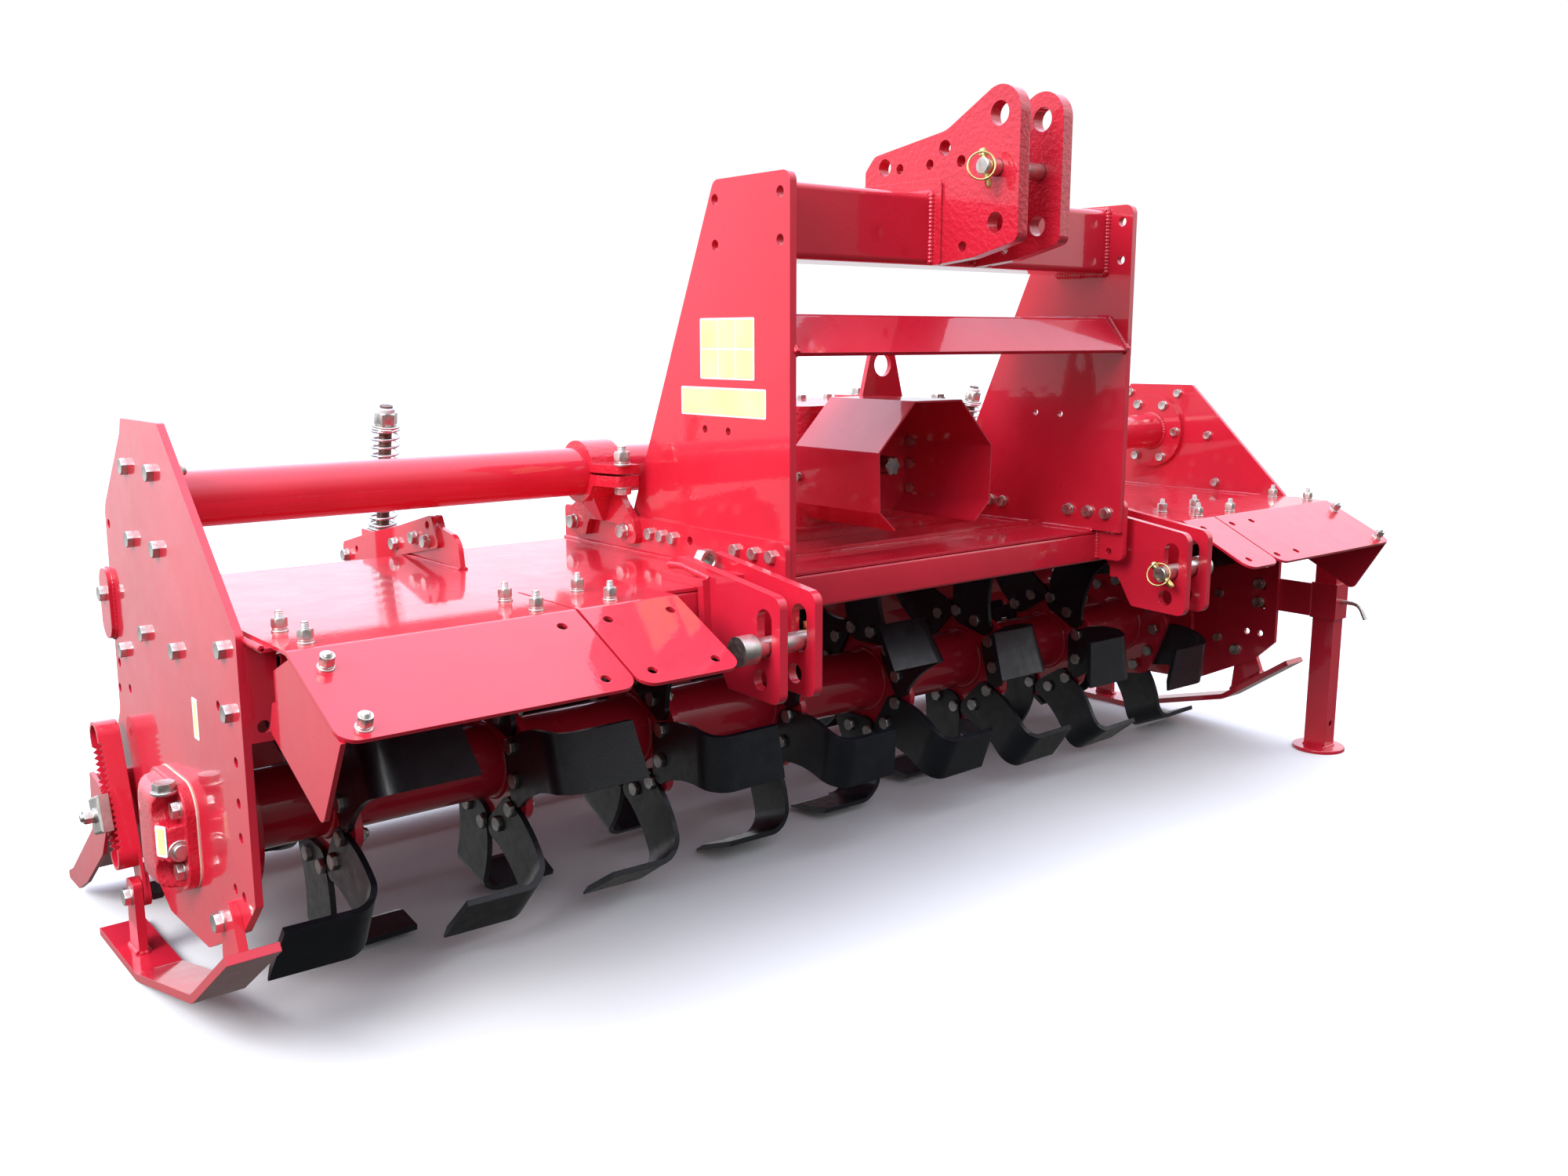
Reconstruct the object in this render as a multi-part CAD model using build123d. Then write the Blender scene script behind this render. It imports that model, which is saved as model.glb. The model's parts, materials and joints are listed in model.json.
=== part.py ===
from build123d import *
import math
import os

# Heavy rotary tiller for a tractor's three-point hitch.
# Frame: X across the machine, -Y towards the tractor, +Z up, millimetres.
# Origin: on the ground, halfway across the machine, below the rotor's axis.

# ---- driving dimensions ----
ROTOR_Z = 256.0                    # height of the rotor's axis
PLATE_IN = 1148.0                  # inner face of each end plate, from the middle
PLATE_OUT = 1158.0                 # outer face of each end plate
DECK_TOP = 567.0                   # top of the deck sheet
DECK_T = 5.0
DRIVE_Y, DRIVE_Z = 60.0, 700.0     # axis of the gearbox output and of the cross tubes
TUBE_R = 40.0                      # outside of the cross tubes
MAST_OUT, MAST_T = 400.0, 12.0     # outer face and thickness of each mast plate
MAST_IN = MAST_OUT - MAST_T
FLANGE_T = 10.0                    # upright deck flange outside each mast plate
BEAM_Y0, BEAM_Y1, BEAM_Z0 = -352.0, -297.0, 507.0            # front beam
TOP_Y0, TOP_Y1, TOP_Z0, TOP_Z1 = -357.0, -247.0, 1034.0, 1144.0   # top beam
LINK_Y, LINK_Z = -488.0, 1172.0    # top link pin
PIN_Y, PIN_Z = -491.0, 501.0       # lower hitch pins
HINGE_Y, HINGE_Z = 286.0, 440.0    # hinge of the levelling board
KNUCKLE_R = 14.0
KNUCKLES = (-1000, -500, 0, 500, 1000)     # middles of the hinge knuckles
ROD_X = 717.0                      # spring rods of the levelling board
ROD_FOOT = (352.0, 308.0)          # pin at the foot of each rod (y, z)
ROD_HEAD = (254.0, 806.0)          # upper end of each rod (y, z)
STAND_X, STAND_Y = 1186.0, -400.0  # middle of the parking stand's leg

os.makedirs("parts", exist_ok=True)
nodes = {}


# ---- helpers ----
def box(x0, x1, y0, y1, z0, z1):
    """Box between two opposite corners."""
    return Pos((x0 + x1) / 2, (y0 + y1) / 2, (z0 + z1) / 2) * Box(x1 - x0, y1 - y0, z1 - z0)


def cyl_x(x0, x1, y, z, r):
    """Cylinder along X."""
    return Pos((x0 + x1) / 2, y, z) * Rot(0, 90, 0) * Cylinder(r, x1 - x0)


def cyl_y(y0, y1, x, z, r):
    """Cylinder along Y."""
    return Pos(x, (y0 + y1) / 2, z) * Rot(90, 0, 0) * Cylinder(r, y1 - y0)


def cyl_z(z0, z1, x, y, r):
    """Cylinder along Z."""
    return Pos(x, y, (z0 + z1) / 2) * Cylinder(r, z1 - z0)


def face_of(points):
    """Flat face through corners (a, b), or (a, b, radius) where the corner is rounded."""
    face = make_face(Polyline(*[p[:2] for p in points], close=True))
    for radius in sorted({p[2] for p in points if len(p) == 3}):
        rounded = [p for p in points if len(p) == 3 and p[2] == radius]
        corners = [v for v in face.vertices()
                   if any(math.dist((v.X, v.Y), p[:2]) < 0.01 for p in rounded)]
        face = fillet(corners, radius)
    return face


def plate_x(points, x0, x1, holes=()):
    """Plate across X: corners (y, z[, radius]) and round holes (y, z, radius)."""
    face = face_of(points)
    for y, z, r in holes:
        face -= Pos(y, z) * Circle(r)
    return extrude(Plane(origin=(x0, 0, 0), x_dir=(0, 1, 0), z_dir=(1, 0, 0)) * face, x1 - x0)


def plate_y(points, y0, y1, holes=()):
    """Plate across Y: corners (x, z[, radius]) and round holes (x, z, radius)."""
    face = face_of(points)
    for x, z, r in holes:
        face -= Pos(x, z) * Circle(r)
    return extrude(Plane(origin=(0, y1, 0), x_dir=(1, 0, 0), z_dir=(0, -1, 0)) * face, y1 - y0)


def bent_sheet(run, thickness, x0, x1, bend=0.0):
    """Sheet along a run of (y, z) points on its left face, with the inside bend radius given."""
    left = []
    right = []
    last = len(run) - 1
    for i, (y, z) in enumerate(run):
        heading = [math.atan2(run[k + 1][1] - run[k][1], run[k + 1][0] - run[k][0])
                   for k in (i - 1, i) if 0 <= k < last]
        turn = math.remainder(heading[-1] - heading[0], 2 * math.pi)
        across = heading[0] + turn / 2
        reach = thickness / math.cos(turn / 2)
        other = (y + reach * math.sin(across), z - reach * math.cos(across))
        if bend and 0 < i < last:
            inner, outer = bend, bend + thickness
            left.append((y, z, inner if turn > 0 else outer))
            right.append((*other, outer if turn > 0 else inner))
        else:
            left.append((y, z))
            right.append(other)
    return plate_x(left + right[::-1], x0, x1)


def belt(y1, z1, r1, y2, z2, r2):
    """Face round two circles and the tangents between them, in (y, z)."""
    span = math.dist((y1, z1), (y2, z2))
    along = math.atan2(z2 - z1, y2 - y1)
    lean = math.acos((r1 - r2) / span)
    corners = [(y + r * math.cos(along + a), z + r * math.sin(along + a))
               for y, z, r, a in ((y1, z1, r1, -lean), (y2, z2, r2, -lean),
                                  (y2, z2, r2, lean), (y1, z1, r1, lean))]
    return make_face(Polyline(*corners, close=True)) + Pos(y1, z1) * Circle(r1) + Pos(y2, z2) * Circle(r2)


def across_x(face, x0, x1):
    """Extrudes a face drawn in (y, z) from x0 to x1."""
    return extrude(Plane(origin=(x0, 0, 0), x_dir=(0, 1, 0), z_dir=(1, 0, 0)) * face, x1 - x0)


def mirrored(shape):
    """The same piece on the other side of the machine."""
    return mirror(shape, about=Plane.YZ)


def add(node, *shapes):
    """Put pieces into a node."""
    nodes.setdefault(node, []).extend(shapes)


def add_pair(node, shape):
    """Put a piece and its mirror image into a node."""
    add(node, shape, mirrored(shape))


# ---- end plates ----
END_OUTLINE = [(-296, 233), (-243, 182), (-90, 107, 30), (86, 101, 30), (136, 127), (321, 305, 8),
               (275, 364, 25), (258, 676, 40), (141, 790), (131, 811, 4), (-42, 812, 8), (-296, 573, 8)]
END_HOLES = [(-264, 411, 7), (-262, 358, 7), (-261, 313, 7), (242, 652, 7), (252, 441, 7), (262, 400, 7),
             (204, 410, 7), (-211, 471, 7), (0, ROTOR_Z, 62)]
LOW_HOLES_LEFT = [(-224, 235, 7), (-256, 234, 7)]
LOW_HOLES_RIGHT = [(-225, 249, 7), (-259, 249, 7)]
EAR_Y, EAR_Z0, EAR_Z1, EAR_R = 271.0, 502.0, 557.0, 26.0     # long ear on the rear edge

ear = across_x(belt(EAR_Y, EAR_Z0, EAR_R, EAR_Y, EAR_Z1, EAR_R), PLATE_OUT, PLATE_OUT + 8)
add("end_plate_right", plate_x(END_OUTLINE, PLATE_IN, PLATE_OUT, END_HOLES + LOW_HOLES_RIGHT) + ear)
add("end_plate_left", mirrored(plate_x(END_OUTLINE, PLATE_IN, PLATE_OUT, END_HOLES + LOW_HOLES_LEFT) + ear))

# ---- deck with the fixed halves of the hinge, front beam, flanges ----
DECK_REAR = 190.0                  # where the flat deck meets the bent rear sheet
HOOD_RUN = [(DECK_REAR, DECK_TOP), (205, DECK_TOP), (258, 436)]
add("deck_sheet", box(-PLATE_IN, PLATE_IN, BEAM_Y0, DECK_REAR, DECK_TOP - DECK_T, DECK_TOP))
hood = bent_sheet(HOOD_RUN, DECK_T, -PLATE_IN, PLATE_IN, bend=8)
for x in KNUCKLES:
    for x0 in (x - 92, x + 42):
        hood += cyl_x(x0, x0 + 50, HINGE_Y, HINGE_Z, KNUCKLE_R)
        hood += box(x0, x0 + 50, 254, HINGE_Y, HINGE_Z + 4, HINGE_Z + KNUCKLE_R)
add("deck_rear_sheet", hood)

BEAM_WALL = 5.0
BEAM_Z1 = DECK_TOP - DECK_T
beam = box(-PLATE_IN, PLATE_IN, BEAM_Y0, BEAM_Y1, BEAM_Z0, BEAM_Z1)
beam = fillet(beam.edges().filter_by(Axis.X), 6)
beam -= box(-PLATE_IN, PLATE_IN, BEAM_Y0 + BEAM_WALL, BEAM_Y1 - BEAM_WALL,
            BEAM_Z0 + BEAM_WALL, BEAM_Z1 - BEAM_WALL)
add("front_beam", beam)

FLANGE_OUTLINE = [(207, DECK_TOP), (207, 627, 8), (-412, 627, 14), (-412, 514, 14),
                  (BEAM_Y0, 514), (BEAM_Y0, DECK_TOP)]
FLANGE_HOLES = [(-175, 603, 7), (193, 608, 7), (-388, 569, 7), (-380, 530, 6)]
add_pair("deck_flanges", plate_x(FLANGE_OUTLINE, MAST_OUT, MAST_OUT + FLANGE_T, FLANGE_HOLES))
add("deck_ridge", box(-MAST_IN, MAST_IN, -232, -222, DECK_TOP, DECK_TOP + 9))

# ---- mast: side plates, top beam, middle bar ----
MAST_OUTLINE = [(-410, 568), (-410, 1152, 16), (-246, 1152, 16), (-59, 757), (8, 617), (8, 568)]
MAST_HOLES = [(-235, 1123, 8), (-388, 1123, 8), (-235, 1057, 8), (-388, 1057, 8),
              (-205, 781, 6), (-264, 780, 6)]
mast_plate = plate_x(MAST_OUTLINE, MAST_IN, MAST_OUT, MAST_HOLES)
add("mast_plate_right", mast_plate)
add("mast_plate_left", mirrored(mast_plate))

TOP_WALL = 8.0
top_beam = box(-MAST_IN, MAST_IN, TOP_Y0, TOP_Y1, TOP_Z0, TOP_Z1)
top_beam = fillet(top_beam.edges().filter_by(Axis.X), 10)
top_beam -= box(-MAST_IN, MAST_IN, TOP_Y0 + TOP_WALL, TOP_Y1 - TOP_WALL,
                TOP_Z0 + TOP_WALL, TOP_Z1 - TOP_WALL)
add("top_beam", top_beam)
add("middle_bar", bent_sheet([(-412, 899), (-368, 955), (-158, 955)], 8, -MAST_IN, MAST_IN, bend=3))

# ---- top link bracket: two cast cheeks that hook round the top beam ----
CHEEK_IN, CHEEK_OUT = 38.0, 60.0
RIB_OUT = 64.0                     # a raised rib stands along the beam's front and top
LOBE_Y, LOBE_Z, LOBE_R = -491.0, 1250.0, 41.0
CHEEK_OUTLINE = [(-532, 1064, 14), (-532, 1250), (-473, 1287), (-382, 1237, 60), (-222, 1213, 20),
                 (-200, 1190, 10), (-200, TOP_Z1), (TOP_Y0, TOP_Z1), (TOP_Y0, 1034), (-440, 1042, 40),
                 (-500, 1056, 20)]
CHEEK_HOLES = [(LINK_Y, LINK_Z, 13.5), (LOBE_Y, LOBE_Z, 18), (-487, 1092, 15.5), (-246, 1193, 14),
               (-281, 1188, 8), (-348, 1189, 8), (-380, 1211, 12), (-415, 1188, 9), (-421, 1060, 8)]
RIB_OUTLINE = [(-378, 1034, 6), (-378, 1166, 10), (-200, 1166, 4), (-200, TOP_Z1), (TOP_Y0, TOP_Z1),
               (TOP_Y0, 1034)]
cheek = plate_x(CHEEK_OUTLINE, CHEEK_IN, CHEEK_OUT)
cheek += cyl_x(CHEEK_IN, CHEEK_OUT, LOBE_Y, LOBE_Z, LOBE_R)
cheek += plate_x(RIB_OUTLINE, CHEEK_OUT, RIB_OUT)
for y, z, r in CHEEK_HOLES:
    cheek -= cyl_x(CHEEK_IN, CHEEK_OUT + RIB_OUT, y, z, r)
add_pair("top_link_cheeks", cheek)
add("top_link_pin", cyl_x(-92, 80, LINK_Y, LINK_Z, 12.9) + cyl_x(72, 84, LINK_Y, LINK_Z, 19))

# ---- gearbox: ribbed housing, base, cover, output bosses and lifting eye ----
BOX_X0, BOX_X1, BOX_Y0, BOX_Y1 = -110.0, 280.0, -98.0, 190.0
BOX_TOP = 792.0
BASE_TOP = 588.0
housing = box(BOX_X0, BOX_X1, BOX_Y0, BOX_Y1, DECK_TOP, BOX_TOP)
housing = fillet(housing.edges().filter_by(Axis.Z), 28)
housing += box(BOX_X0 - 34, BOX_X1 + 34, BOX_Y0 - 8, BOX_Y1 + 16, DECK_TOP, BASE_TOP)
for x0, x1 in ((BOX_X0 - 16, BOX_X0), (BOX_X1, BOX_X1 + 16)):
    housing += cyl_x(x0, x1, DRIVE_Y, DRIVE_Z, 74)
for x in (-80, 0, 80, 160, 240):
    housing += plate_x([(BOX_Y1, BASE_TOP), (BOX_Y1 + 14, BASE_TOP), (BOX_Y1, BOX_TOP - 20)], x - 4, x + 4)
add("gearbox_housing", housing)
cover = box(BOX_X0 + 6, BOX_X1 - 6, BOX_Y0 + 6, BOX_Y1 - 6, BOX_TOP, BOX_TOP + 10)
cover = fillet(cover.edges().filter_by(Axis.Z), 24)
add("gearbox_cover", cover + cyl_z(BOX_TOP + 10, BOX_TOP + 18, 200, 90, 50))
add("lifting_eye", plate_y([(43, BOX_TOP + 10), (72, 912, 18), (122, 912, 18), (152, BOX_TOP + 10)],
                           -84, -74, [(97, 872, 21)]))

# ---- input shaft and its guard ----
SHAFT_END, SHAFT_BACK = -215.0, -128.5
SHAFT_R = 17.4                     # one and three eighths inch
hub_bearing = cyl_y(-128, BOX_Y0, 0, DRIVE_Z, 62) + cyl_y(-112, BOX_Y0, 0, DRIVE_Z, 82)
add("input_bearing", hub_bearing)
add("input_shaft", cyl_y(-150, SHAFT_BACK, 0, DRIVE_Z, 20) + cyl_y(SHAFT_END, -150, 0, DRIVE_Z, SHAFT_R))

GUARD_OUTLINE = [(-98, 606), (-134, 638), (-137, 737), (-56, 818), (56, 818), (137, 737), (134, 638), (98, 606)]
GUARD_Y0, GUARD_Y1, GUARD_T = -320.0, -112.5, 3.0
guard = plate_y(GUARD_OUTLINE, GUARD_Y0, GUARD_Y1)
hollow = offset(face_of(GUARD_OUTLINE), -GUARD_T, kind=Kind.INTERSECTION)
hollow += face_of([(-96, 603), (96, 603), (96, 640), (-96, 640)])
guard -= extrude(Plane(origin=(0, GUARD_Y1 - GUARD_T, 0), x_dir=(1, 0, 0), z_dir=(0, -1, 0)) * hollow, 300)
guard -= cyl_y(GUARD_Y1 - GUARD_T, GUARD_Y1, 0, DRIVE_Z, 64)
add("pto_guard", guard)

# ---- cross tubes, their end flanges, clamps ----
TUBE_WALL = 7.0
for node, x0, x1 in (("cross_tube_left", -1136, BOX_X0 - 16), ("cross_tube_right", BOX_X1 + 16, 1136)):
    add(node, cyl_x(x0, x1, DRIVE_Y, DRIVE_Z, TUBE_R) - cyl_x(x0, x1, DRIVE_Y, DRIVE_Z, TUBE_R - TUBE_WALL))
add("tube_flange_right", cyl_x(1136, PLATE_IN, DRIVE_Y, DRIVE_Z, 86))
square = [(DRIVE_Y - 84, DRIVE_Z - 74, 16), (DRIVE_Y + 84, DRIVE_Z - 74, 16),
          (DRIVE_Y + 84, DRIVE_Z + 74, 16), (DRIVE_Y - 84, DRIVE_Z + 74, 16)]
add("tube_flange_left", plate_x(square, -PLATE_IN, -1136))

CLAMP_X0, CLAMP_X1 = MAST_OUT + FLANGE_T, 472.0
CLAMP_EAR = 108.0                  # half length of the ears
CLAMP_R = TUBE_R + 12
SPLIT = 2.0                        # half gap between saddle and cap
ear_plan = [(CLAMP_X0 + 6, DRIVE_Y - CLAMP_EAR, 8), (CLAMP_X1 - 12, DRIVE_Y - CLAMP_EAR, 12), (CLAMP_X1, DRIVE_Y - 60, 6),
            (CLAMP_X1, DRIVE_Y + 60, 6), (CLAMP_X1 - 12, DRIVE_Y + CLAMP_EAR, 12), (CLAMP_X0 + 6, DRIVE_Y + CLAMP_EAR, 8)]
bore = cyl_x(CLAMP_X0, CLAMP_X1, DRIVE_Y, DRIVE_Z, TUBE_R)
ring = cyl_x(CLAMP_X0 + 2, CLAMP_X1, DRIVE_Y, DRIVE_Z, CLAMP_R)
upper = box(CLAMP_X0, CLAMP_X1, -200, 300, DRIVE_Z + SPLIT, 900)
lower = box(CLAMP_X0, CLAMP_X1, -200, 300, 500, DRIVE_Z - SPLIT)
cap = (Pos(0, 0, DRIVE_Z + SPLIT) * extrude(face_of(ear_plan), 14) + (ring & upper)) - bore
add_pair("tube_caps", cap)
saddle = Pos(0, 0, DRIVE_Z - SPLIT - 18) * extrude(face_of(ear_plan), 18) + (ring & lower)
FOOT_OUTLINE = [(-44, 582, 14), (2, 582, 6), (14, 612, 14), (106, 612, 14), (118, 582, 6), (174, 582, 14),
                (178, 620, 16), (118, 656, 20), (112, 682), (8, 682), (2, 656, 20), (-34, 622, 16)]
saddle += plate_x(FOOT_OUTLINE, CLAMP_X0, CLAMP_X0 + 13)
saddle += loft([Pos(0, 0, DRIVE_Z - 30) * face_of([(CLAMP_X0, 24), (CLAMP_X1 - 4, 24), (CLAMP_X1 - 4, 96), (CLAMP_X0, 96)]),
                Pos(0, 0, 614) * face_of([(CLAMP_X0, 50), (CLAMP_X0 + 20, 50), (CLAMP_X0 + 20, 70), (CLAMP_X0, 70)])])
add_pair("tube_saddles", saddle - bore)

# ---- lower hitch: two ears on each side, on a strap round the beam ----
EAR_T, EAR_GAP, EAR_IN = 14.0, 49.0, 437.0
EAR_OUT = EAR_IN + 2 * EAR_T + EAR_GAP
SLOT_Z0, SLOT_Z1, SLOT_R = 501.0, 538.0, 16.0
CLEVIS_OUTLINE = [(-525, 422, 16), (-525, 573, 18), (-292, 604, 12), (-262, 594, 8), (-262, DECK_TOP),
                  (BEAM_Y0, DECK_TOP), (BEAM_Y0, 500), (-381, 470), (-408, 426, 10)]
slot = across_x(belt(PIN_Y, SLOT_Z0, SLOT_R, PIN_Y, SLOT_Z1, SLOT_R), EAR_IN, EAR_OUT)
clevis = bent_sheet([(-372, 476), (-366, DECK_TOP + 12), (-262, DECK_TOP + 12)], 14, EAR_IN, EAR_OUT + 12)
clevis -= box(EAR_IN, EAR_OUT + 12, BEAM_Y0, -250, 450, DECK_TOP)
for x in (EAR_IN, EAR_OUT - EAR_T):
    clevis += plate_x(CLEVIS_OUTLINE, x, x + EAR_T, [(-482, 452, 14.6)])
add_pair("hitch_clevises", clevis - slot)
lower_pin = cyl_x(424, 560, PIN_Y, PIN_Z, 14.2) + cyl_x(535, 562, PIN_Y, PIN_Z, 21)
add("lower_pins", mirrored(lower_pin), Pos(-20, 0, 0) * lower_pin)     # the right one is pushed home

# ---- deflectors over the front of the rotor ----
FLAP_BEND, FLAP_END = (-404, DECK_TOP + 5), (-554, 499)
flap_dir = (Vector(0, *FLAP_END) - Vector(0, *FLAP_BEND)).normalized()
flap_out = Vector(0, -flap_dir.Z, flap_dir.Y)


def flap_hole(x, along, radius=7.0):
    """Round tool through a flap, at x and this far along it from the bend."""
    at = Vector(x, *FLAP_BEND) + flap_dir * along
    return Plane(origin=at, z_dir=flap_out) * Cylinder(radius, 30)


def deflector(x0, x1, hole_xs):
    """Bent sheet on the deck, its two lower corners rounded, with two holes at each x."""
    sheet = bent_sheet([FLAP_END, FLAP_BEND, (-245, DECK_TOP + 5)], 5, x0, x1, bend=5)
    lower = [e for e in sheet.edges() if e.length < 6 and abs(e.center().Y - FLAP_END[0]) < 4]
    sheet = fillet(lower, 24)
    for x in hole_xs:
        sheet -= flap_hole(x, 30) + flap_hole(x, 142)
    return sheet


add("deflectors_outer", mirrored(deflector(760, 1138, (796,))), deflector(708, 1138, (796, 727)))
add("deflectors_inner", mirrored(deflector(599, 756, (628, 727))), deflector(599, 704, (628,)))
SIDE_FLAP = [(-354, 540), (-354, 503), (-341, 498), (-328, 462, 8), (-480, 386, 12), (-546, 496), (-404, 562)]
add_pair("side_flaps", plate_x(SIDE_FLAP, 1130, 1136))
angle_leg = plate_y([(1112, 440), (PLATE_IN, 440), (PLATE_IN, 560), (1112, 560)], -296.5, -290.5, [(1132, 459, 8)])
add_pair("end_angles", angle_leg + box(PLATE_IN - 6, PLATE_IN, -290.5, -262, 440, 560))

# ---- left bearing housing, right gear case, hubs ----
HOUSING_PAD = [(-85, ROTOR_Z - 76, 42), (85, ROTOR_Z - 76, 42), (85, ROTOR_Z + 76, 42), (-85, ROTOR_Z + 76, 42)]
PAD_X, FACE_X = PLATE_OUT + 16, 1217.0
HOUSING_PLAN = [(PAD_X, -76), (1196, -74, 8), (FACE_X, -46, 8), (FACE_X, 46, 8), (1196, 74, 8), (PAD_X, 76)]
pad = plate_x(HOUSING_PAD, PLATE_OUT, PAD_X)
body = Pos(0, 0, ROTOR_Z - 70) * extrude(face_of(HOUSING_PLAN), 140, taper=3)
body = fillet(body.edges().group_by(Axis.Z)[-1] + body.edges().group_by(Axis.Z)[0], 7)
for y in (-66, 66):
    for z0, z1 in ((ROTOR_Z - 80, ROTOR_Z - 34), (ROTOR_Z + 12, ROTOR_Z + 58)):
        pocket = box(PAD_X, FACE_X, y - 24, y + 24, z0, z1)
        body -= fillet(pocket.edges().filter_by(Axis.X), 12)
add("bearing_housing", mirrored(pad + body))
case = extrude(Plane(origin=(PLATE_OUT, 0, 0), x_dir=(0, 1, 0), z_dir=(1, 0, 0))
               * belt(0, ROTOR_Z, 128, DRIVE_Y, DRIVE_Z, 104), 78)
case = fillet(case.faces().sort_by(Axis.X)[-1].edges(), 18)
case += across_x(belt(0, ROTOR_Z, 146, DRIVE_Y, DRIVE_Z, 122), PLATE_OUT, PLATE_OUT + 12)
add("gear_case", case)
add("hub_housings", cyl_x(-PLATE_OUT, -1100, 0, ROTOR_Z, 61), cyl_x(1100, PLATE_OUT, 0, ROTOR_Z, 61))

# ---- rotor: tube, end discs, eight flanges, six tines on each ----
FLANGES = 8
PITCH = 274.8                      # from flange to flange
FLANGE_X = [(k - (FLANGES - 1) / 2) * PITCH for k in range(FLANGES)]
FLANGE_WIDE = 12.0
ROTOR_R = 59.0
FIRST, STEP = -136.0, 13.9         # angle of the first tine, and its step from flange to flange
TINE_T = 9.0
REACH = 150.0                      # sideways reach of a tine's leading corner
BEND_R = 42.0                      # outside radius of the bend
BLADE_OUT = 245.0                  # radius of the blade's middle
BLADE_TILT = 7.0                   # the leading edge stands out and the trailing edge clears the soil
LAG = 8.5                          # the blade's middle trails the bolts by this angle
tube = cyl_x(-1084, 1084, 0, ROTOR_Z, ROTOR_R) - cyl_x(-1084, 1084, 0, ROTOR_Z, ROTOR_R - 8)
add("rotor_tube", tube)
add_pair("rotor_end_discs", cyl_x(1084, 1096, 0, ROTOR_Z, 118))


def tine():
    """A left-hand tine on a flange at x = 0: radius along Y, moving towards +Z, blade towards -X.

    A band bent through a right angle, trimmed to the outline of the curved arm."""
    band = Polyline((0, 70), (0, BLADE_OUT - BEND_R))
    band += RadiusArc((0, BLADE_OUT - BEND_R), (-BEND_R, BLADE_OUT), -BEND_R)
    band += Polyline((-BEND_R, BLADE_OUT), (-REACH, BLADE_OUT - 2), (-REACH, BLADE_OUT - 2 - TINE_T),
                     (-BEND_R, BLADE_OUT - TINE_T))
    band += RadiusArc((-BEND_R, BLADE_OUT - TINE_T), (-TINE_T, BLADE_OUT - BEND_R), BEND_R - TINE_T)
    band += Polyline((-TINE_T, BLADE_OUT - BEND_R), (-TINE_T, 70), (0, 70))
    body = extrude(Pos(0, 0, -80) * make_face(band), 160)
    body = Pos(0, BLADE_OUT, 0) * Rot(-BLADE_TILT, 0, 0) * Pos(0, -BLADE_OUT, 0) * body
    arm = Polyline((262, 44), (222, 41))
    arm += ThreePointArc((222, 41), (165, 43), (112, 62))
    arm += ThreePointArc((112, 62), (92, 68), (78, 50))
    arm += Polyline((78, 50), (76, -14))
    arm += ThreePointArc((76, -14), (84, -32), (102, -38))
    arm += ThreePointArc((102, -38), (160, -54), (222, -49))
    arm += Polyline((222, -49), (262, -45), (262, 44))
    trimmed = body & across_x(make_face(arm), -REACH, 0)
    bevel = make_face(Polyline((BLADE_OUT - 10, 20), (BLADE_OUT - 10, 50), (BLADE_OUT + 3, 50), close=True))
    slant = plate_y([(-REACH, 44), (-REACH + 12, -50), (-REACH, -50)], BLADE_OUT - 60, BLADE_OUT + 20)
    return trimmed - across_x(bevel, -REACH, -BEND_R - 8) - slant


def placed(shape, x, angle):
    """Put a piece on the rotor at x, turned so that its radius points at this angle from the rear."""
    return Pos(x, 0, ROTOR_Z) * Rot(angle, 0, 0) * shape


left_hand = tine()
right_hand = Pos(-TINE_T, 0, 0) * mirrored(left_hand)
hexagon = fillet(RegularPolygon(136, 6).vertices(), 30) - Circle(ROTOR_R)
for k, x in enumerate(FLANGE_X):
    first = FIRST + STEP * k
    disc = across_x(Rot(0, 0, 30) * hexagon, 0, FLANGE_WIDE)
    add("rotor_flanges", placed(disc, x, first))
    face = x if k < FLANGES - 1 else x + FLANGE_WIDE + TINE_T
    for i in range(6):
        angle = first + 60 * i - LAG
        if i % 2 == 0:
            add("tines_left", placed(left_hand, face, angle))
        else:
            add("tines_right", placed(right_hand, face, angle))

# ---- levelling board, its end plates and the lugs for the rods ----
BOARD_RUN = [(296, 412), (330, 294), (350, 158), (520, 38)]
BOARD_T = 6.0
board = bent_sheet(BOARD_RUN, BOARD_T, -1138, 1138, bend=20)
for x in KNUCKLES:
    board += cyl_x(x - 38, x + 38, HINGE_Y, HINGE_Z, KNUCKLE_R)
    board += plate_x([(289, 434), (299, 434), (303, 402), (294, 404)], x - 38, x + 38)
wing = bent_sheet([(336, 253), (350, 158), (520, 38)], BOARD_T, 1138, 1190, bend=20)
board += wing + mirrored(wing)
add("levelling_board", board)
SIDE_OUTLINE = [(274, 247, 10), (336, 258, 6), (351, 160, 20), (524, 40), (562, 24, 8), (556, 12, 6), (490, 14, 14),
                (425, 46, 30), (300, 131, 30), (258, 186, 12)]
add_pair("board_sides", plate_x(SIDE_OUTLINE, 1190, 1196))
LUG_OUTLINE = [(327, 330), (337, 278), (366, 290, 12), (368, 322, 12)]
for side in (-1, 1):
    for x in (side * ROD_X - 21, side * ROD_X + 15):
        add("rod_lugs", plate_x(LUG_OUTLINE, x, x + 6))

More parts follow.
